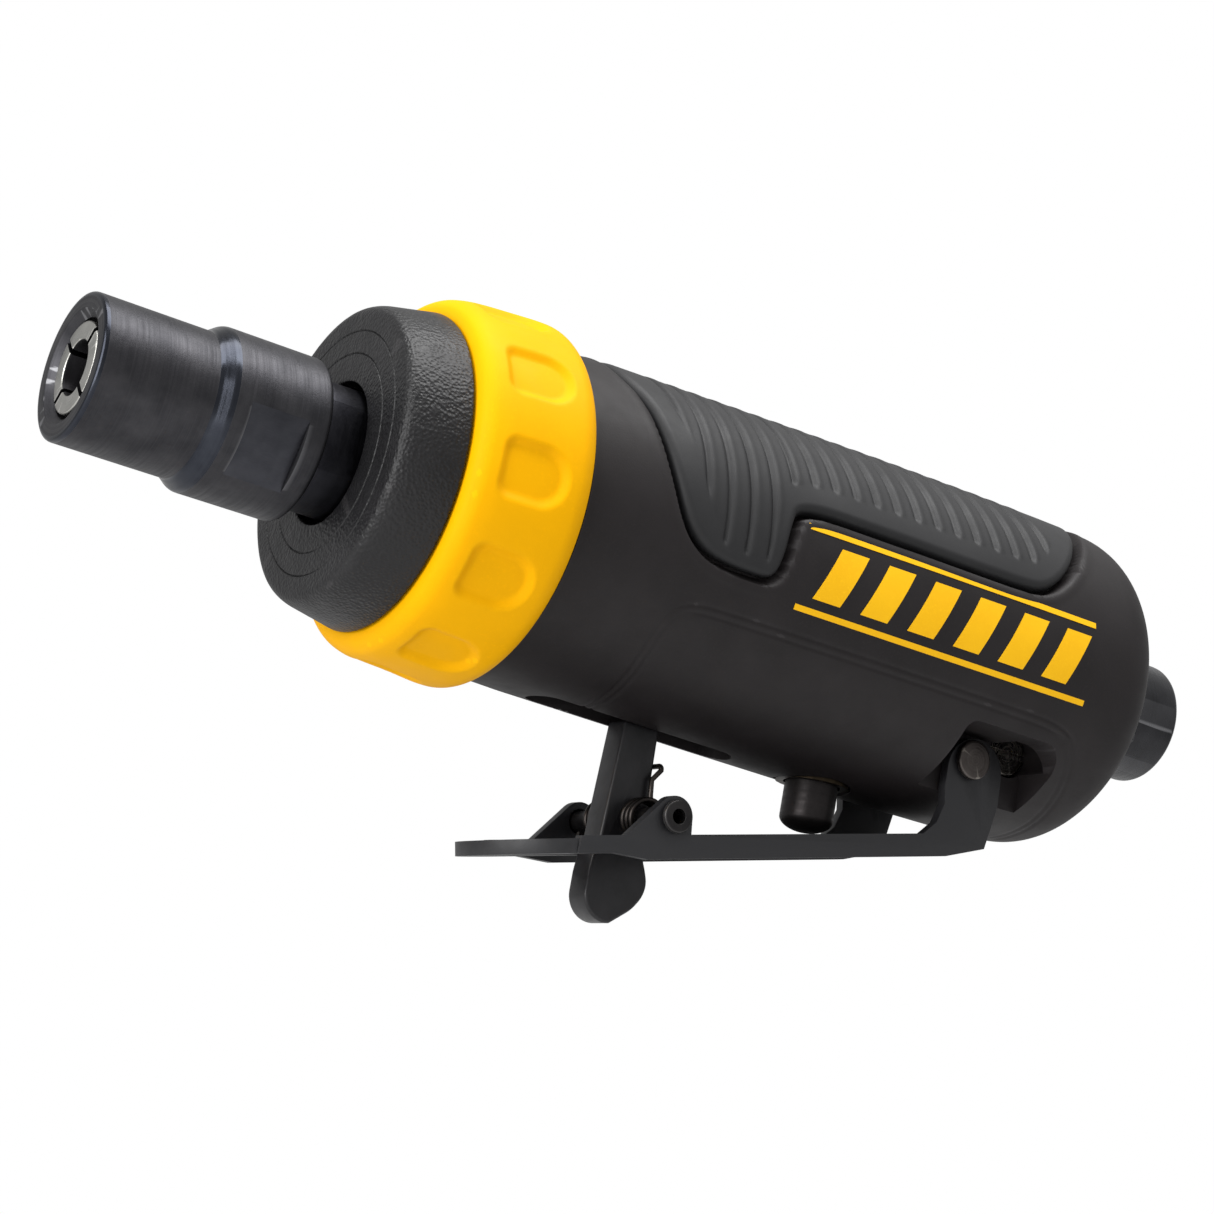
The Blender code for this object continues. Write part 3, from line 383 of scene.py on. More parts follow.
def resampled(points, step):
    """The same path with a point about every step."""
    path = np.array(points, float)
    runs = np.concatenate([[0], np.cumsum(np.linalg.norm(np.diff(path, axis=0), axis=1))])
    wanted = np.linspace(0, runs[-1], max(2, int(runs[-1] / step) + 1))
    return np.stack([np.interp(wanted, runs, path[:, k]) for k in range(2)], axis=1)


def weld(mesh, distance):
    """Join points closer than a distance in millimetres and turn every face outwards."""
    shape = bmesh.new()
    shape.from_mesh(mesh)
    bmesh.ops.remove_doubles(shape, verts=shape.verts, dist=distance * MM)
    bmesh.ops.recalc_face_normals(shape, faces=shape.faces)
    shape.to_mesh(mesh)
    shape.free()
    return mesh


def mesh_from(name, points, faces):
    """A welded mesh from points in the tool's millimetres."""
    mesh = bpy.data.meshes.new(name)
    mesh.from_pydata((np.asarray(points, float) * MM + np.array(ORIGIN)).tolist(), [], faces)
    return weld(mesh, 0.0005)


def loose(name, mesh):
    """An object that isn't finished yet."""
    thing = bpy.data.objects.new(name, mesh)
    bpy.context.scene.collection.objects.link(thing)
    return thing


def turned(name, profile, steps=128, axis="X", at=(0, 0, 0), angles=None, reshape=None):
    """A turned solid from (distance along the axis, radius) pairs: a loop, or a path between axis points."""
    profile = np.array(profile, float)
    closed = profile[0, 1] > 0 or profile[-1, 1] > 0
    if angles is None:
        angles = np.linspace(0, 2 * math.pi, steps, endpoint=False)
    along, angle = np.meshgrid(profile[:, 0], angles, indexing="ij")
    radius = np.repeat(profile[:, 1:2], len(angles), axis=1)
    if reshape is not None:
        radius = reshape(along, angle, radius)
    sine, cosine = radius * np.sin(angle), radius * np.cos(angle)
    parts = {"X": (along, -sine, cosine), "Y": (cosine, along, sine), "Z": (cosine, sine, along)}[axis]
    points = np.stack([part.ravel() for part in parts], axis=1) + np.array(at, float)
    rows, columns = along.shape
    first = np.arange(rows if closed else rows - 1)
    i, j = np.meshgrid(first, np.arange(columns), indexing="ij")
    k, n = (i + 1) % rows, (j + 1) % columns
    faces = np.stack([i * columns + j, i * columns + n, k * columns + n, k * columns + j], axis=-1)
    return loose(name, mesh_from(name, points, faces.reshape(-1, 4).tolist()))


def slab(name, outline, low, high, plane="XZ"):
    """A flat outline given thickness: XZ outlines run across Y, XY along Z and YZ along X."""
    count = len(outline)
    points = []
    for level in (low, high):
        for a, b in outline:
            points.append({"XZ": (a, level, b), "XY": (a, b, level), "YZ": (level, a, b)}[plane])
    faces = [list(range(count)), list(range(2 * count - 1, count - 1, -1))]
    for i in range(count):
        j = (i + 1) % count
        faces.append([i, j, count + j, count + i])
    return loose(name, mesh_from(name, points, faces))


def rod(axis, at, start, end, radius, steps=64):
    """A plain rod used as a cutter."""
    return turned("cutter", [(start, 0), (start, radius), (end, radius), (end, 0)], steps, axis, at)


def keep_evaluated(thing):
    """Apply every modifier."""
    depsgraph = bpy.context.evaluated_depsgraph_get()
    mesh = bpy.data.meshes.new_from_object(thing.evaluated_get(depsgraph))
    thing.modifiers.clear()
    thing.data = mesh


def combine(thing, others, operation="DIFFERENCE", solver="MANIFOLD"):
    """Cut or join solids and remove the helpers."""
    for other in others:
        step = thing.modifiers.new("combine", "BOOLEAN")
        step.operation = operation
        step.solver = solver
        step.object = other
    keep_evaluated(thing)
    for other in others:
        bpy.data.objects.remove(other, do_unlink=True)
    return thing


def soften(thing, width, segments=3, limit=35):
    """Round the sharp edges of a flat-sided solid."""
    shape = bmesh.new()
    shape.from_mesh(thing.data)
    bmesh.ops.remove_doubles(shape, verts=shape.verts, dist=0.000002)
    bmesh.ops.dissolve_limit(shape, angle_limit=math.radians(0.4), verts=shape.verts, edges=shape.edges)
    shape.to_mesh(thing.data)
    shape.free()
    bevel = thing.modifiers.new("edges", "BEVEL")
    bevel.width = width * MM
    bevel.segments = segments
    bevel.limit_method = "ANGLE"
    bevel.angle_limit = math.radians(limit)
    bevel.use_clamp_overlap = True
    keep_evaluated(thing)
    return thing


def finish(thing, material, body, nodes=(), crease=38):
    """Shade a piece, give it its material and fix it to its CAD body."""
    thing.data.materials.clear()
    for one in material if isinstance(material, list) else [material]:
        thing.data.materials.append(one)
    thing.data.shade_smooth()
    thing.data.set_sharp_from_angle(angle=math.radians(crease))
    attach(thing, body)
    if nodes:
        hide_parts(*nodes)
    return thing


def paint(thing, index, chosen):
    """Give faces another of the piece's materials, by a test of their centre in millimetres and normal."""
    for face in thing.data.polygons:
        centre = (thing.matrix_world @ face.center - ORIGIN) / MM
        if chosen(centre, face.normal):
            face.material_index = index


def turn_round_axis(thing, degrees):
    """Turn an unfinished shape round the tool's axis."""
    turn = Matrix.Rotation(math.radians(degrees), 4, "X")
    thing.data.transform(Matrix.Translation(ORIGIN) @ turn @ Matrix.Translation(-ORIGIN))
    return thing


def resampled_loop(points, step):
    """A closed path with extra points along its long runs, so that wear has vertices to work on."""
    path = []
    for a, b in zip(points, points[1:] + points[:1]):
        count = max(1, int(math.dist(a, b) / step))
        for i in range(count):
            path.append((a[0] + (b[0] - a[0]) * i / count, a[1] + (b[1] - a[1]) * i / count))
    return path


# ---------------------------------------------------------------- body and grip pad

def body_radius(station):
    """Outer radius of the body at each station."""
    station = np.asarray(station, float)
    stations, radii = zip(*(BODY_BULGE + [(DOME_START, DOME_RADIUS)]))
    plain = np.interp(station, stations, radii)
    part = np.clip((station - DOME_START) / DOME_LENGTH, 0, 1)
    dome = DOME_RADIUS * (1 - part ** DOME_POWER) ** (1 / DOME_POWER)
    return np.where(station > DOME_START, dome, plain)


def on_surface(points):
    """Stations and angles in degrees laid flat on the body's skin, in millimetres."""
    return [(station, math.radians(angle) * DOME_RADIUS) for station, angle in points]


PAD_PATH = smoothed([(PAD_EDGE[0][0], 0)] + on_surface(PAD_EDGE) + [(PAD_EDGE[-1][0], 0)])
PANEL_PATH = smoothed(on_surface(PANEL_EDGE), 2)


def distance_to(path, station, arc_length):
    """Distance from each point to a path, all laid flat."""
    path = np.array(path, float)
    best = np.full(station.shape, 1e9)
    for (ax, ay), (bx, by) in zip(path, path[1:]):
        dx, dy = bx - ax, by - ay
        square = max(dx * dx + dy * dy, 1e-12)
        t = np.clip(((station - ax) * dx + (arc_length - ay) * dy) / square, 0, 1)
        best = np.minimum(best, np.hypot(station - ax - t * dx, arc_length - ay - t * dy))
    return best


def inside_path(path, station, arc_length):
    """True where a point lies under the path, between its ends."""
    path = np.array(path, float)
    crossings = np.zeros(station.shape, int)
    for (ax, ay), (bx, by) in zip(path, path[1:]):
        if ax == bx:
            continue
        spans = (np.minimum(ax, bx) <= station) & (station < np.maximum(ax, bx))
        height = ay + (station - ax) / (bx - ax) * (by - ay)
        crossings += spans & (height > arc_length)
    return crossings % 2 == 1


def smooth_step(value, start, end):
    """Nought before start and one after end."""
    t = np.clip((value - start) / (end - start), 0, 1)
    return t * t * (3 - 2 * t)


def body_skin(station, angle, radius):
    """The turned body's radius with the pad's recess and the panel's edge lines pressed into it."""
    skin = (station >= BODY_FRONT) & (radius > INLET_BORE + 1)
    outer = np.abs(radius - body_radius(station)) < 0.02
    side = np.abs(np.where(angle > math.pi, angle - 2 * math.pi, angle)) * DOME_RADIUS
    gap = distance_to(PAD_PATH, station, side)
    gap = np.where(inside_path(PAD_PATH, station, side), -gap, gap)
    recess = (PAD_DEPTH + 0.45) * (1 - smooth_step(gap, *VALLEY))
    lip = 0.10 * np.exp(-((gap - 1.9) / 0.5) ** 2)
    line = distance_to(PANEL_PATH, station, side)
    below = inside_path([(x, -a) for x, a in PANEL_PATH], station, -side)
    signed = np.where(below, -line, line)
    lines = 0.16 * np.exp(-(signed / 0.26) ** 2) + 0.14 * np.exp(-((signed + PANEL_STEP) / 0.26) ** 2)
    return np.where(skin & outer, radius - recess + lip - lines, radius)


def spaced(*stretches):
    """Values along several stretches, each (start, end, step), with the last end kept."""
    values = []
    for start, end, step in stretches:
        values.extend(np.linspace(start, end, max(1, round((end - start) / step)), endpoint=False))
    return values + [stretches[-1][1]]


def body_shell():
    """The handle with its recess, pockets, channel and bores."""
    stations = spaced((BODY_FRONT, 14, 0.32), (14, 19.5, 0.26), (19.5, 80, 0.46), (80, 90, 0.26),
                      (90, DOME_END, 0.2))
    outer = [(SPIGOT_FRONT, MOTOR_BORE), (SPIGOT_FRONT, SPIGOT_RADIUS), (NECK_FRONT, SPIGOT_RADIUS),
             (NECK_FRONT, NECK_RADIUS), (BODY_FRONT - 0.001, NECK_RADIUS), (BODY_FRONT - 0.001, 20.9)]
    outer += [(x, float(body_radius(x))) for x in stations]
    outer += rounded([outer[-1], (DOME_END, INLET_BORE, 0.5), (INLET_BORE_START, INLET_BORE),
                       (INLET_BORE_START, 0)], 3)[1:]
    profile = [(MOTOR_BORE_END, 0), (MOTOR_BORE_END, MOTOR_BORE)] + outer
    half = spaced((0, 58, 2.6), (58, 104, 0.75), (104, 112, 0.7), (112, 118, 0.36), (118, 180, 1.5))
    angles = np.radians(half + [360 - a for a in half[-2:0:-1]])
    body = turned("body_shell", profile, angles=angles, reshape=body_skin)
    channel = arc((12.7, 0), 2.9, 270, 90, 16) + arc((38.1, 0), 2.9, 90, -90, 16)
    cutters = [slab("cutter", channel, -30, -17.2, "XY")]
    for side in (-1, 1):
        near, far = sorted((side * 10.0, side * 30))
        pocket = [(81.8, -30)] + arc((77.8, -15.9), 4, 0, 90, 16)
        pocket += arc((66.3, -13.4), 1.5, 90, 180, 8) + [(64.8, -30)]
        cutters.append(slab("cutter", pocket, near, far))
    cutters.append(rod("Z", (VALVE_STATION, 0, 0), -26, -12.9, 5.3))
    cutters.append(rod("Z", (VALVE_STATION, 0, 0), -13.0, -2, 4.6))
    cutters.append(rod("Y", LEVER_AXIS, -15, 15, PIN_HOLE))
    cutters.append(rod("Y", REGULATOR_AXIS, -15, 6.5, 3.3))
    combine(body, cutters)
    return finish(body, BLACK_BODY, BODY, ["body_housing"], 42)


def grip_pad():
    """The soft saddle pad: a rounded edge and thin grooves round it, with a plain underside."""
    path = resampled(PAD_PATH, 0.22)
    rows = []
    for station, side in path:
        if side > 4 and (not rows or station > rows[-1][0] + 0.004):
            rows.append((station, side / DOME_RADIUS))
    stations = np.array([row[0] for row in rows])
    halves = np.array([row[1] for row in rows])
    t = np.linspace(-1, 1, 137)
    share = t * (1 + 0.4 * (1 - t * t))
    station = np.repeat(stations[:, None], len(share), axis=1)
    angle = halves[:, None] * share[None, :]
    side = np.abs(angle) * DOME_RADIUS
    depth = distance_to(PAD_PATH, station, side)
    curl = np.clip(PAD_ROUND - depth, 0, PAD_ROUND)
    radius = body_radius(station) + PAD_PROUD - (PAD_ROUND - np.sqrt(PAD_ROUND ** 2 - curl ** 2))
    reach = np.where((station > 18.6) & (station < 29.5), 2.2, 4.0)
    fade = smooth_step(depth, reach - 0.35, reach + 0.35)
    for i in range(GROOVE_COUNT):
        centre = GROOVE_FIRST + GROOVE_PITCH * i
        radius -= GROOVE_DEPTH * fade * np.exp(-((station - centre) / 0.36) ** 2)
        radius += 0.07 * fade * np.exp(-((station - centre - 0.9) / 0.5) ** 2)
    top = np.stack([station, -radius * np.sin(angle), radius * np.cos(angle)], axis=-1).reshape(-1, 3)
    under_steps = 24
    under_share = np.linspace(-1, 1, under_steps + 1)
    under_angle = halves[:, None] * under_share[None, :]
    under_radius = (body_radius(stations) - PAD_DEPTH)[:, None]
    under_station = np.repeat(stations[:, None], under_steps + 1, axis=1)
    under = np.stack([under_station, -under_radius * np.sin(under_angle), under_radius * np.cos(under_angle)],
                     axis=-1).reshape(-1, 3)
    wide, slim, count = len(share), under_steps + 1, len(stations)
    base = wide * count
    faces = []
    for i in range(count - 1):
        for columns, offset in ((wide, 0), (slim, base)):
            for j in range(columns - 1):
                a = offset + i * columns + j
                faces.append([a, a + 1, a + columns + 1, a + columns])
        for high, low in ((0, 0), (wide - 1, slim - 1)):
            faces.append([i * wide + high, (i + 1) * wide + high,
                          base + (i + 1) * slim + low, base + i * slim + low])
    for i in (0, count - 1):
        faces.append([i * wide + j for j in range(wide)]
                     + [base + i * slim + j for j in reversed(range(slim))])
    pad = loose("ribbed_pad", mesh_from("ribbed_pad", np.vstack([top, under]), faces))
    return finish(pad, BLACK_PAD, BODY, ["grip_pad"], 60)


def stripes(side, name):
    """Generic printed bars between two lines, as a film just above the skin."""
    low, high = 0.02, 0.07
    shapes = [((32.6, 81.0), (76.9, 78.9), 0), ((32.6, 81.0), (104.2, 106.2), 0)]
    start, width, pitch = 36.4, 4.3, 7.6
    for i in range(6):
        left = start + pitch * i
        shapes.append(((left, left + width), (82.2, 101.0), -3.2))
    points, faces = [], []
    for (x0, x1), (a0, a1), lean in shapes:
        columns = max(2, int((x1 - x0) / 1.0))
        rows = max(2, int((a1 - a0) / 1.0))
        first = len(points)
        for lift in (high, low):
            for i in range(rows + 1):
                for j in range(columns + 1):
                    t = i / rows
                    station = x0 + (x1 - x0) * j / columns + lean * (t - 0.5)
                    angle = math.radians(a0 + (a1 - a0) * t)
                    radius = float(body_radius(station)) + lift
                    points.append((station, -side * radius * math.sin(angle), radius * math.cos(angle)))
        size = (rows + 1) * (columns + 1)
        wide = columns + 1
        for i in range(rows):
            for j in range(columns):
                a = first + i * wide + j
                faces.append([a, a + 1, a + wide + 1, a + wide])
                faces.append([size + a + wide, size + a + wide + 1, size + a + 1, size + a])
        rim = list(range(wide)) + [i * wide + columns for i in range(1, rows + 1)]
        rim += [rows * wide + j for j in reversed(range(columns))]
        rim += [i * wide for i in range(rows - 1, 0, -1)]
        for a, b in zip(rim, rim[1:] + rim[:1]):
            faces.append([first + a, first + b, first + size + b, first + size + a])
    film = loose(name, mesh_from(name, points, faces))
    return finish(film, PRINT, BODY)


# ---------------------------------------------------------------- nose

DIMPLES = 11
DIMPLE_FIRST = math.radians(60.1)
DIMPLE = dict(centre=-8.1, half_length=4.5, half_width=3.75, front=1.7, rear=3.6, depth=0.75)


def dimpled(station, angle, radius):
    """The ring's radius with a thumb dimple at every step round it."""
    pitch = 2 * math.pi / DIMPLES
    around = (angle - DIMPLE_FIRST + pitch / 2) % pitch - pitch / 2
    across = np.abs(around) * radius
    along = station - DIMPLE["centre"]
    corner = np.where(along > 0, DIMPLE["rear"], DIMPLE["front"])
    qx = np.abs(along) - DIMPLE["half_length"] + corner
    qy = across - DIMPLE["half_width"] + corner
    outside = np.hypot(np.maximum(qx, 0), np.maximum(qy, 0)) + np.minimum(np.maximum(qx, qy), 0) - corner
    press = smooth_step(-outside, -0.3, 1.05)
    return np.where(radius > 21.9, radius - DIMPLE["depth"] * press, radius)


def nose():
    """Nose cap and deflector ring."""
    face, shoulder = -23.9, -15.9
    cap = [(face, 9.1, 0.25), (face, 12.5), (face + 0.16, 12.65), (face, 12.8), (face, 15.4),
           (face + 0.16, 15.55), (face, 15.7), (face, 18.35, 0.9), (face + 1.25, 19.15, 1.0),
           (shoulder, 20.5, 0.35), (shoulder, 19.2), (-14.3, 19.2), (-14.3, 17.9), (-20.4, 17.9),
           (-20.4, 9.1)]
    thing = turned("nose_cap_grained", rounded(cap, 6, closed=True), 220)
    finish(thing, GRAINED, BODY, ["nose_cap"])
    outline = [(RING_FRONT, 20.8, 0.4), (-15.3, 21.8, 0.5), (-14.3, 22.7, 0.7), (-12.5, 23.15, 0.9),
               (-10, 23.4, 1.2), (-6, 23.65, 1.2), (-3.5, 23.8, 1.0), (-1.8, 23.8, 0.7), (-0.7, 23.3, 0.6),
               (0.1, 22.4, 0.4), (RING_REAR, 21.8, 0.3), (RING_REAR, RING_BORE)]
    outer = resampled(rounded([(RING_FRONT, RING_BORE)] + outline, 6), 0.2)
    inner = [(-1.05, RING_BORE), (-1.05, CHAMBER_RADIUS), (-13.4, CHAMBER_RADIUS), (-13.4, RING_BORE)]
    ring = turned("deflector_ring_dimpled", list(map(tuple, outer)) + inner, 440, reshape=dimpled)
    finish(ring, YELLOW, "deflector", ["deflector_ring"], 50)


def collet_nut():
    """Clamping nut with turning marks and two milled flats."""
    profile = [(NUT_FACE, 7.15, 0.12), (NUT_FACE, 9.15, 0.62), (-43.2, 9.15, 0.35), (-41.6, 10.3, 0.5),
               (-28.9, 10.3, 0.75), (-28.9, 7.6), (-54.4, 7.6), (-56.0, 6.15), (-57.1, 6.15, 0.15)]
    nut = turned("collet_nut_turned", resampled_loop(rounded(profile, 6, closed=True), 1.2), 192)
    cutters = []
    for side in (0, 180):
        block = slab("cutter", [(-39.4, 9.2), (-31.8, 9.2), (-31.8, 14), (-39.4, 14)], -8, 8)
        cutters.append(turn_round_axis(block, FLATS_ANGLE + side))
    combine(nut, cutters)
    finish(nut, [NUT_STEEL, POLISHED_BAND, FLAT_STEEL], "nut", ["collet_nut"])
    facing = math.radians(FLATS_ANGLE)
    paint(nut, 1, lambda c, n: -43.4 < c.x < -41.3 and math.hypot(c.y, c.z) > 8.9)
    paint(nut, 1, lambda c, n: c.x < -57.45 and math.hypot(c.y, c.z) > 8.3)
    paint(nut, 2, lambda c, n: (-39.5 < c.x < -31.7
                                and abs(-n.y * math.sin(facing) + n.z * math.cos(facing)) > 0.999))


def split_collet():
    """Collet with a tapered nose and four slits."""
    front = COLLET_FACE
    profile = [(front, 3.55, 0.15), (front, 5.7, 0.35), (-56.2, 5.7), (-54.9, 6.9, 0.2), (-53.9, 6.9, 0.2),
               (-53.7, 6.2), (-38.3, 4.9, 0.2), (-38.3, 3.3), (front + 0.35, 3.3)]
    collet = turned("collet_split", rounded(profile, 4, closed=True), 144)
    slits = []
    for angle in (45, 135):
        slit = slab("cutter", [(front - 1, -9), (-42, -9), (-42, 9), (front - 1, 9)], -0.35, 0.35)
        slits.append(turn_round_axis(slit, angle))
    combine(collet, slits)
    finish(collet, [COLLET_STEEL, BORE_PAINTED_SHADE], "collet", ["collet"])
    # Painted shade: the bore and the walls of the slits take the near-black second material.
    paint(collet, 1, lambda c, n: math.hypot(c.y, c.z) < 3.45 or (c.x > front + 0.3 and abs(n.x) < 0.1
                                                                  and math.hypot(c.y, c.z) < 5.6))


def collet_holder():
    """Threaded spindle end behind the nut, with two wrench flats."""
    profile = [(-53.4, 6.5), (-53.4, 7.3, 0.4), (-30.2, 7.3, 0.2), (-30.2, 6.6, 0.2), (-28.4, 6.6, 0.2),
               (-28.4, 8.2, 0.4), (-20.9, 8.2, 0.3), (-20.9, 5.2), (-32.9, 5.2), (-32.9, 3.6), (-38, 3.6),
               (-38, 5.2)]
    holder = turned("collet_holder_turned", rounded(profile, 4, closed=True), 144)
    flats = []
    for low, high in ((7.0, 12), (-12, -7.0)):
        flats.append(slab("cutter", [(-28.5, -12), (-22.4, -12), (-22.4, 12), (-28.5, 12)], low, high))
    combine(holder, flats)
    finish(holder, HOLDER_STEEL, "rotor", ["collet_holder"])


# ---------------------------------------------------------------- throttle

def lever_height(station):
    """Height of the lever's underside."""
    return -37.5 + (station - 29.9) * math.tan(LEVER_SLOPE)


def throttle_lever():
    """Pressed sheet paddle with its flanges, rear ears and latch ears."""
    front = 14.0
    side = [(front, lever_height(front)), (19.0, lever_height(19.0)),
            (24.0, lever_height(24.0) - FLANGE_DROP), (70.0, lever_height(70.0) - FLANGE_DROP),
            (76.2, lever_height(76.2)), (77.4, -20.5)]
    side += arc((72.7, -17.0), 4.6, 0, 180, 32)
    side += [(68.1, -19.8), (68.5, -22.2), (67.6, -24.9), (65.7, lever_height(65.7) + 2.2),
             (29.7, lever_height(29.7) + 2.2), (29.5, LATCH_PIVOT[1])]
    side += arc(LATCH_PIVOT, 2.6, 0, 140, 24)
    side += [(20.4, lever_height(20.4) + 2.2), (front, lever_height(front) + 2.2)]
    flanges = []
    for low in (-LEVER_HALF_WIDTH, LEVER_HALF_WIDTH - LEVER_SHEET):
        flanges.append(slab("flange", side, low, low + LEVER_SHEET))
    length = (76.2 - 17.0) / math.cos(LEVER_SLOPE)
    outline = [(length, -LEVER_HALF_WIDTH), (length, LEVER_HALF_WIDTH)]
    outline += arc((0, 0), LEVER_HALF_WIDTH, 90, 270, 64)
    plate = slab("throttle_lever_sheet", outline, 0, LEVER_PLATE, "XY")
    tilt = Matrix.Rotation(-LEVER_SLOPE, 4, "Y")
    nose_centre = Matrix.Translation(place(17.0, 0, lever_height(17.0)))
    plate.data.transform(nose_centre @ tilt @ Matrix.Translation(-ORIGIN))
    combine(plate, flanges, "UNION")
    slot = arc((14.2, 0), 2.7, 270, 90, 24) + arc((28.8, 0), 2.7, 90, -90, 24)
    cutters = [slab("cutter", slot, -45, -30, "XY"), rod("Y", LEVER_AXIS, -14, 14, PIN_HOLE),
               rod("Y", LATCH_AXIS, -14, 14, RIVET_HOLE, 32)]
    combine(plate, cutters)
    soften(plate, 0.28)
    return finish(plate, BLACK_SHEET, "lever", ["throttle_lever"])


def pins():
    """Headed lever pin and hollow latch rivet."""
    half = LEVER_HALF_WIDTH + 0.3
    profile = [(-half - 0.9, 0), (-half - 0.9, 2.65, 0.4), (-half, 2.65, 0.15), (-half, 1.6), (half, 1.6),
               (half, 2.3, 0.15), (half + 0.8, 2.3, 0.45), (half + 0.8, 0)]
    pin = turned("lever_pin_headed", rounded(profile, 4), 72, "Y", LEVER_AXIS)
    finish(pin, PIN_STEEL, BODY, ["lever_pin"])
    profile = [(-half - 0.6, 0.95, 0.1), (-half - 0.6, 2.05, 0.35), (-half, 2.1), (-half, 1.4), (half, 1.4),
               (half, 2.1), (half + 0.6, 2.05, 0.35), (half + 0.6, 0.95, 0.1)]
    rivet = turned("latch_rivet", rounded(profile, 4, closed=True), 56, "Y", LATCH_AXIS)
    finish(rivet, RIVET_STEEL, "lever", ["latch_pin"])


def bent_wire(name, route, radius):
    """A round wire along a smooth route, as a closed mesh."""
    curve = bpy.data.curves.new(name, "CURVE")
    curve.dimensions = "3D"
    curve.bevel_depth = radius * MM
    curve.bevel_resolution = 4
    curve.use_fill_caps = True
    spline = curve.splines.new("POLY")
    spline.points.add(len(route) - 1)
    for target, point in zip(spline.points, route):
        target.co = (*place(*point), 1)
    guide = loose(name + "_guide", curve)
    depsgraph = bpy.context.evaluated_depsgraph_get()
    mesh = weld(bpy.data.meshes.new_from_object(guide.evaluated_get(depsgraph)), 0.001)
    bpy.data.objects.remove(guide, do_unlink=True)
    return loose(name, mesh)


def latch():
    """Lock-off latch and its double torsion spring."""
    outline = [(23.3, -21.6), (22.6, -36.8), (22.2, -38.4), (21.9, -41.5)]
    outline += arc((25.4, -43.9), 3.5, 180, 285, 24)
    rear = [(26.3, -47.3), (29.2, -45.0, 0.8), (30.5, -43.2, 0.9), (30.9, -41.4, 0.9), (30.3, -39.7, 0.8),
            (29.6, -38.3, 0.6), (30.2, -35.8, 0.8), (30.1, -32.0, 0.9), (28.8, -29.8, 0.8), (28.6, -21.6)]
    outline += rounded(rear, 4)[1:]
    thing = slab("lock_off_latch_bar", outline, -2.1, 2.1)
    combine(thing, [rod("Y", LATCH_AXIS, -5, 5, RIVET_HOLE, 32)])
    soften(thing, 0.42, 4)
    finish(thing, LATCH_STEEL, "latch", ["lock_off_latch"])

    coil_radius, wire_radius, pitch, per_turn = 2.35, 0.35, 0.95, 28
    inner = 2.1 + 0.3 + wire_radius
    x0, z0 = LATCH_PIVOT
    steps = int(3.25 * per_turn)
    coil = []
    for i in range(steps + 1):
        angle = -2 * math.pi * i / per_turn
        coil.append((x0 + coil_radius * math.cos(angle), inner + 0.2 + pitch * i / per_turn,
                     z0 + coil_radius * math.sin(angle)))
    foot = (x0 - 2.6, coil[-1][1] + 0.1, z0 - coil_radius)
    station = 28.8 + 0.3 + wire_radius
    near = [foot] + coil[::-1]
    near += [(x0 + coil_radius - 0.8, inner + 0.1, z0 + 3.4), (x0 + 1.4, inner, z0 + 5.4),
             (station, inner, -26.8)]
    near += [(station, inner - 0.6 + 0.6 * math.cos(a), -26.8 + 0.6 * math.sin(a))
             for a in np.linspace(0.3, math.pi / 2, 6)]
    bent = bent_wire("latch_spring_wire", near + [(x, -y, z) for x, y, z in near[::-1]], wire_radius)
    finish(bent, SPRING_STEEL, "latch", ["latch_spring"], 80)


def valve():
    """Throttle plunger and regulator spool."""
    at = (VALVE_STATION, 0, 0)
    dome = [(PLUNGER_TIP + 1.9 * (1 - math.cos(t)), PLUNGER_RADIUS * math.sin(t))
            for t in np.linspace(0, math.pi / 2, 14)]
    stem = [dome[-1], (-18.0, PLUNGER_RADIUS, 0.2), (-18.0, 1.5), (-12.7, 1.5), (-12.7, 3.3), (-11.4, 3.3),
            (-11.4, 1.4), (-9.8, 1.4), (-9.8, 0)]
    profile = dome + rounded(stem, 3)[1:]
    plunger = turned("throttle_plunger_domed", profile, 96, "Z", at)
    finish(plunger, PLUNGER_STEEL, "plunger", ["throttle_plunger"])
    profile = [(-9.7, 0), (-9.7, 3.0, 0.35), (-7.2, 3.0), (-7.2, 2.1), (-5.8, 2.1), (-5.8, 3.0),
               (6.2, 3.0), (6.2, 0)]
    spool = turned("regulator_spool_slotted", rounded(profile, 4), 72, "Y", REGULATOR_AXIS)
    centre = REGULATOR[1]
    slot = [(75, centre - 0.4), (84, centre - 0.4), (84, centre + 0.4), (75, centre + 0.4)]
    flat = [(75, centre + 0.6), (84, centre + 0.6), (84, centre + 5), (75, centre + 5)]
    combine(spool, [slab("cutter", slot, -10.5, -8.9), slab("cutter", flat, -4, 4)])
    finish(spool, SPOOL_STEEL, "regulator", ["regulator_spool"])


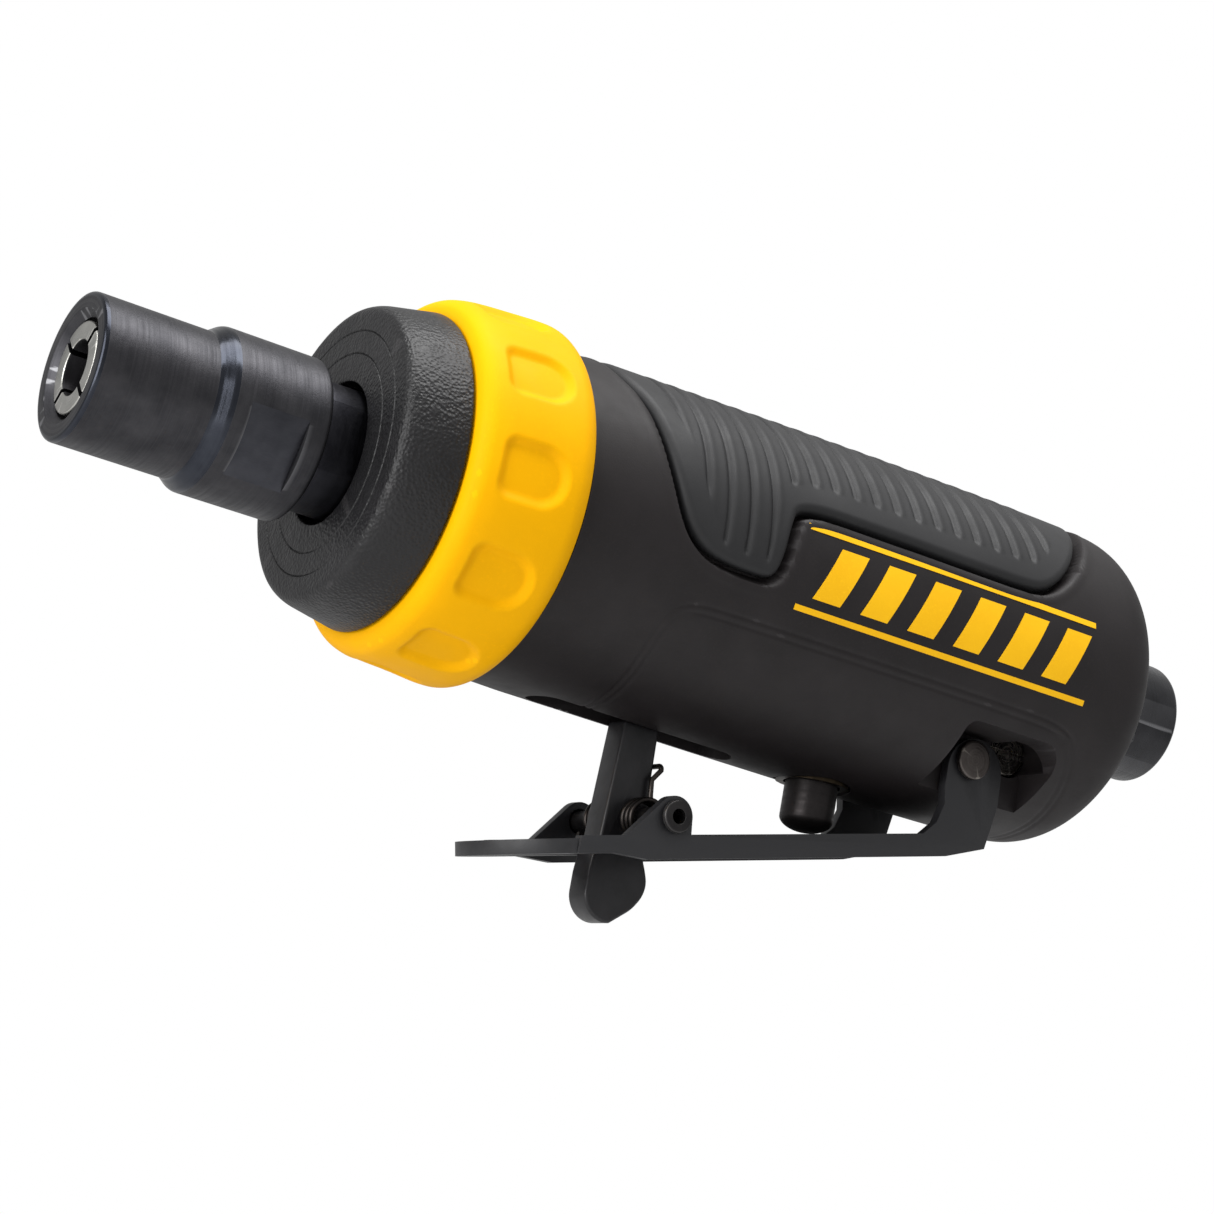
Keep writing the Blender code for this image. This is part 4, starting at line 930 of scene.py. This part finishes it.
def inlet():
    """Washer and threaded inlet bushing with its hexagon."""
    front, rear = DOME_END + 0.3, DOME_END + 0.9
    section = [(front, 7.6), (front, 10.8, 0.2), (rear, 10.8, 0.2), (rear, 7.6)]
    washer = turned("inlet_washer_edge", rounded(section, 3, closed=True), 128)
    finish(washer, GROUND_STEEL, BODY, ["inlet_washer"])
    end = INLET_END
    hex_front = rear + 0.3
    thread = []
    for i in range(7):
        station = end - 7.0 + i * 0.9
        thread += [(station, 5.85 + 0.05 * i), (station + 0.45, 6.15 + 0.05 * i)]
    start = INLET_BORE_START + 1.6
    profile = [(start, 5.2), (start, 7.3, 0.5), (hex_front - 0.1, 7.3), (hex_front - 0.1, 8.6),
               (end, 8.6, 0.9), (end, 6.6, 0.35)]
    profile += thread[::-1] + [(end - 8, 5.8), (end - 8, 5.2)]
    bushing = turned("inlet_bushing_threaded", rounded(profile, 5, closed=True), 144)
    turns = [math.radians(60 * i + 30) for i in range(6)]
    corners = [(HEX_CORNER * math.cos(t), HEX_CORNER * math.sin(t)) for t in turns]
    hexagon = slab("hexagon", corners, hex_front, hex_front + HEX_LENGTH, "YZ")
    combine(hexagon, [rod("X", (0, 0, 0), 90, 115, 8.0)])
    soften(hexagon, 0.22)
    combine(bushing, [hexagon], "UNION")
    finish(bushing, INLET_STEEL, BODY, ["inlet_bushing"])


# ---------------------------------------------------------------- pieces that keep their CAD shape

KEPT = {
    FELT: ["exhaust_silencer"],
    SEAL: ["deflector_o_ring", "regulator_o_ring"],
    IRON: ["front_end_plate", "rear_end_plate"],
    GROUND_STEEL: ["cylinder_liner", "dowel_pin", "rotor_shaft", "valve_spring"],
    BEARING_STEEL: ["%s_bearing_%s" % (end, part) for end in ("front", "rear")
                    for part in ("inner_race", "outer_race", "balls")],
    RESIN: ["vane_%d" % (i + 1) for i in range(5)],
    BRASS: ["valve_spring_seat", "inlet_screen"],
    # The valve bush takes painted shade instead of its brass colour.
    BUSH_PAINTED_SHADE: ["valve_bush"],
}


def dress_kept_nodes():
    """Procedural materials for the inner pieces."""
    for material, names in KEPT.items():
        for name in names:
            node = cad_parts[name]
            node.data.materials.clear()
            node.data.materials.append(material)


# ---------------------------------------------------------------- camera, light and floor

CAMERA_AT = (-166.2, -307.0, -88.5)
CAMERA_TURN = 31.07
CAMERA_RISE = 12.705
CAMERA_ROLL = 10.37
FLOOR_DROP = 150.0


def camera():
    """Long lens from below and in front of the collet."""
    data = bpy.data.cameras.new("camera")
    data.lens = 85
    data.sensor_width = 36
    data.clip_start = 0.01
    data.clip_end = 20
    thing = bpy.data.objects.new("camera", data)
    bpy.context.scene.collection.objects.link(thing)
    turn = Matrix.Rotation(math.radians(-CAMERA_TURN), 4, "Z")
    rise = Matrix.Rotation(math.radians(90 + CAMERA_RISE), 4, "X")
    roll = Matrix.Rotation(math.radians(CAMERA_ROLL), 4, "Z")
    thing.matrix_world = Matrix.Translation(place(*CAMERA_AT)) @ turn @ rise @ roll
    bpy.context.scene.camera = thing


def softbox(name, at, target, size, power):
    """A rectangular area light aimed at a point."""
    data = bpy.data.lights.new(name, "AREA")
    data.shape = "RECTANGLE"
    data.size, data.size_y = size
    data.energy = power
    thing = bpy.data.objects.new(name, data)
    bpy.context.scene.collection.objects.link(thing)
    thing.location = place(*at)
    aim = place(*target) - thing.location
    thing.rotation_mode = "QUATERNION"
    thing.rotation_quaternion = aim.to_track_quat("-Z", "Y")


def studio():
    """White surroundings, soft light and a pale floor."""
    world = bpy.data.worlds.new("studio")
    bpy.context.scene.world = world
    world.use_nodes = True
    tree = world.node_tree
    background = tree.nodes["Background"]
    background.inputs["Color"].default_value = (1, 1, 1, 1)
    background.inputs["Strength"].default_value = 0.50
    bright = tree.nodes.new("ShaderNodeBackground")
    bright.inputs["Color"].default_value = (1, 1, 1, 1)
    bright.inputs["Strength"].default_value = 1.0
    path = tree.nodes.new("ShaderNodeLightPath")
    mix = tree.nodes.new("ShaderNodeMixShader")
    tree.links.new(path.outputs["Is Camera Ray"], mix.inputs[0])
    tree.links.new(background.outputs[0], mix.inputs[1])
    tree.links.new(bright.outputs[0], mix.inputs[2])
    tree.links.new(mix.outputs[0], tree.nodes["World Output"].inputs["Surface"])
    softbox("overhead", (-10, -120, 620), (20, 0, 0), (0.70, 0.45), 6.2)
    softbox("front_fill", (-560, -160, 90), (-20, 0, 0), (0.5, 0.5), 3.6)
    mesh = bpy.data.meshes.new("floor")
    shape = bmesh.new()
    bmesh.ops.create_circle(shape, cap_ends=True, segments=96, radius=1.1)
    shape.to_mesh(mesh)
    shape.free()
    floor = loose("floor", mesh)
    floor.location = place(27, 0, -FLOOR_DROP)
    material, tree, shader = new_material("pale_floor")
    shader.inputs["Base Color"].default_value = (0.62, 0.62, 0.62, 1)
    shader.inputs["Roughness"].default_value = 0.7
    mesh.materials.append(material)
    bpy.context.scene.view_settings.view_transform = "Standard"


body_shell()
grip_pad()
stripes(1, "near_stripes")
stripes(-1, "far_stripes")
nose()
collet_nut()
split_collet()
collet_holder()
throttle_lever()
pins()
latch()
valve()
inlet()
dress_kept_nodes()
camera()
studio()
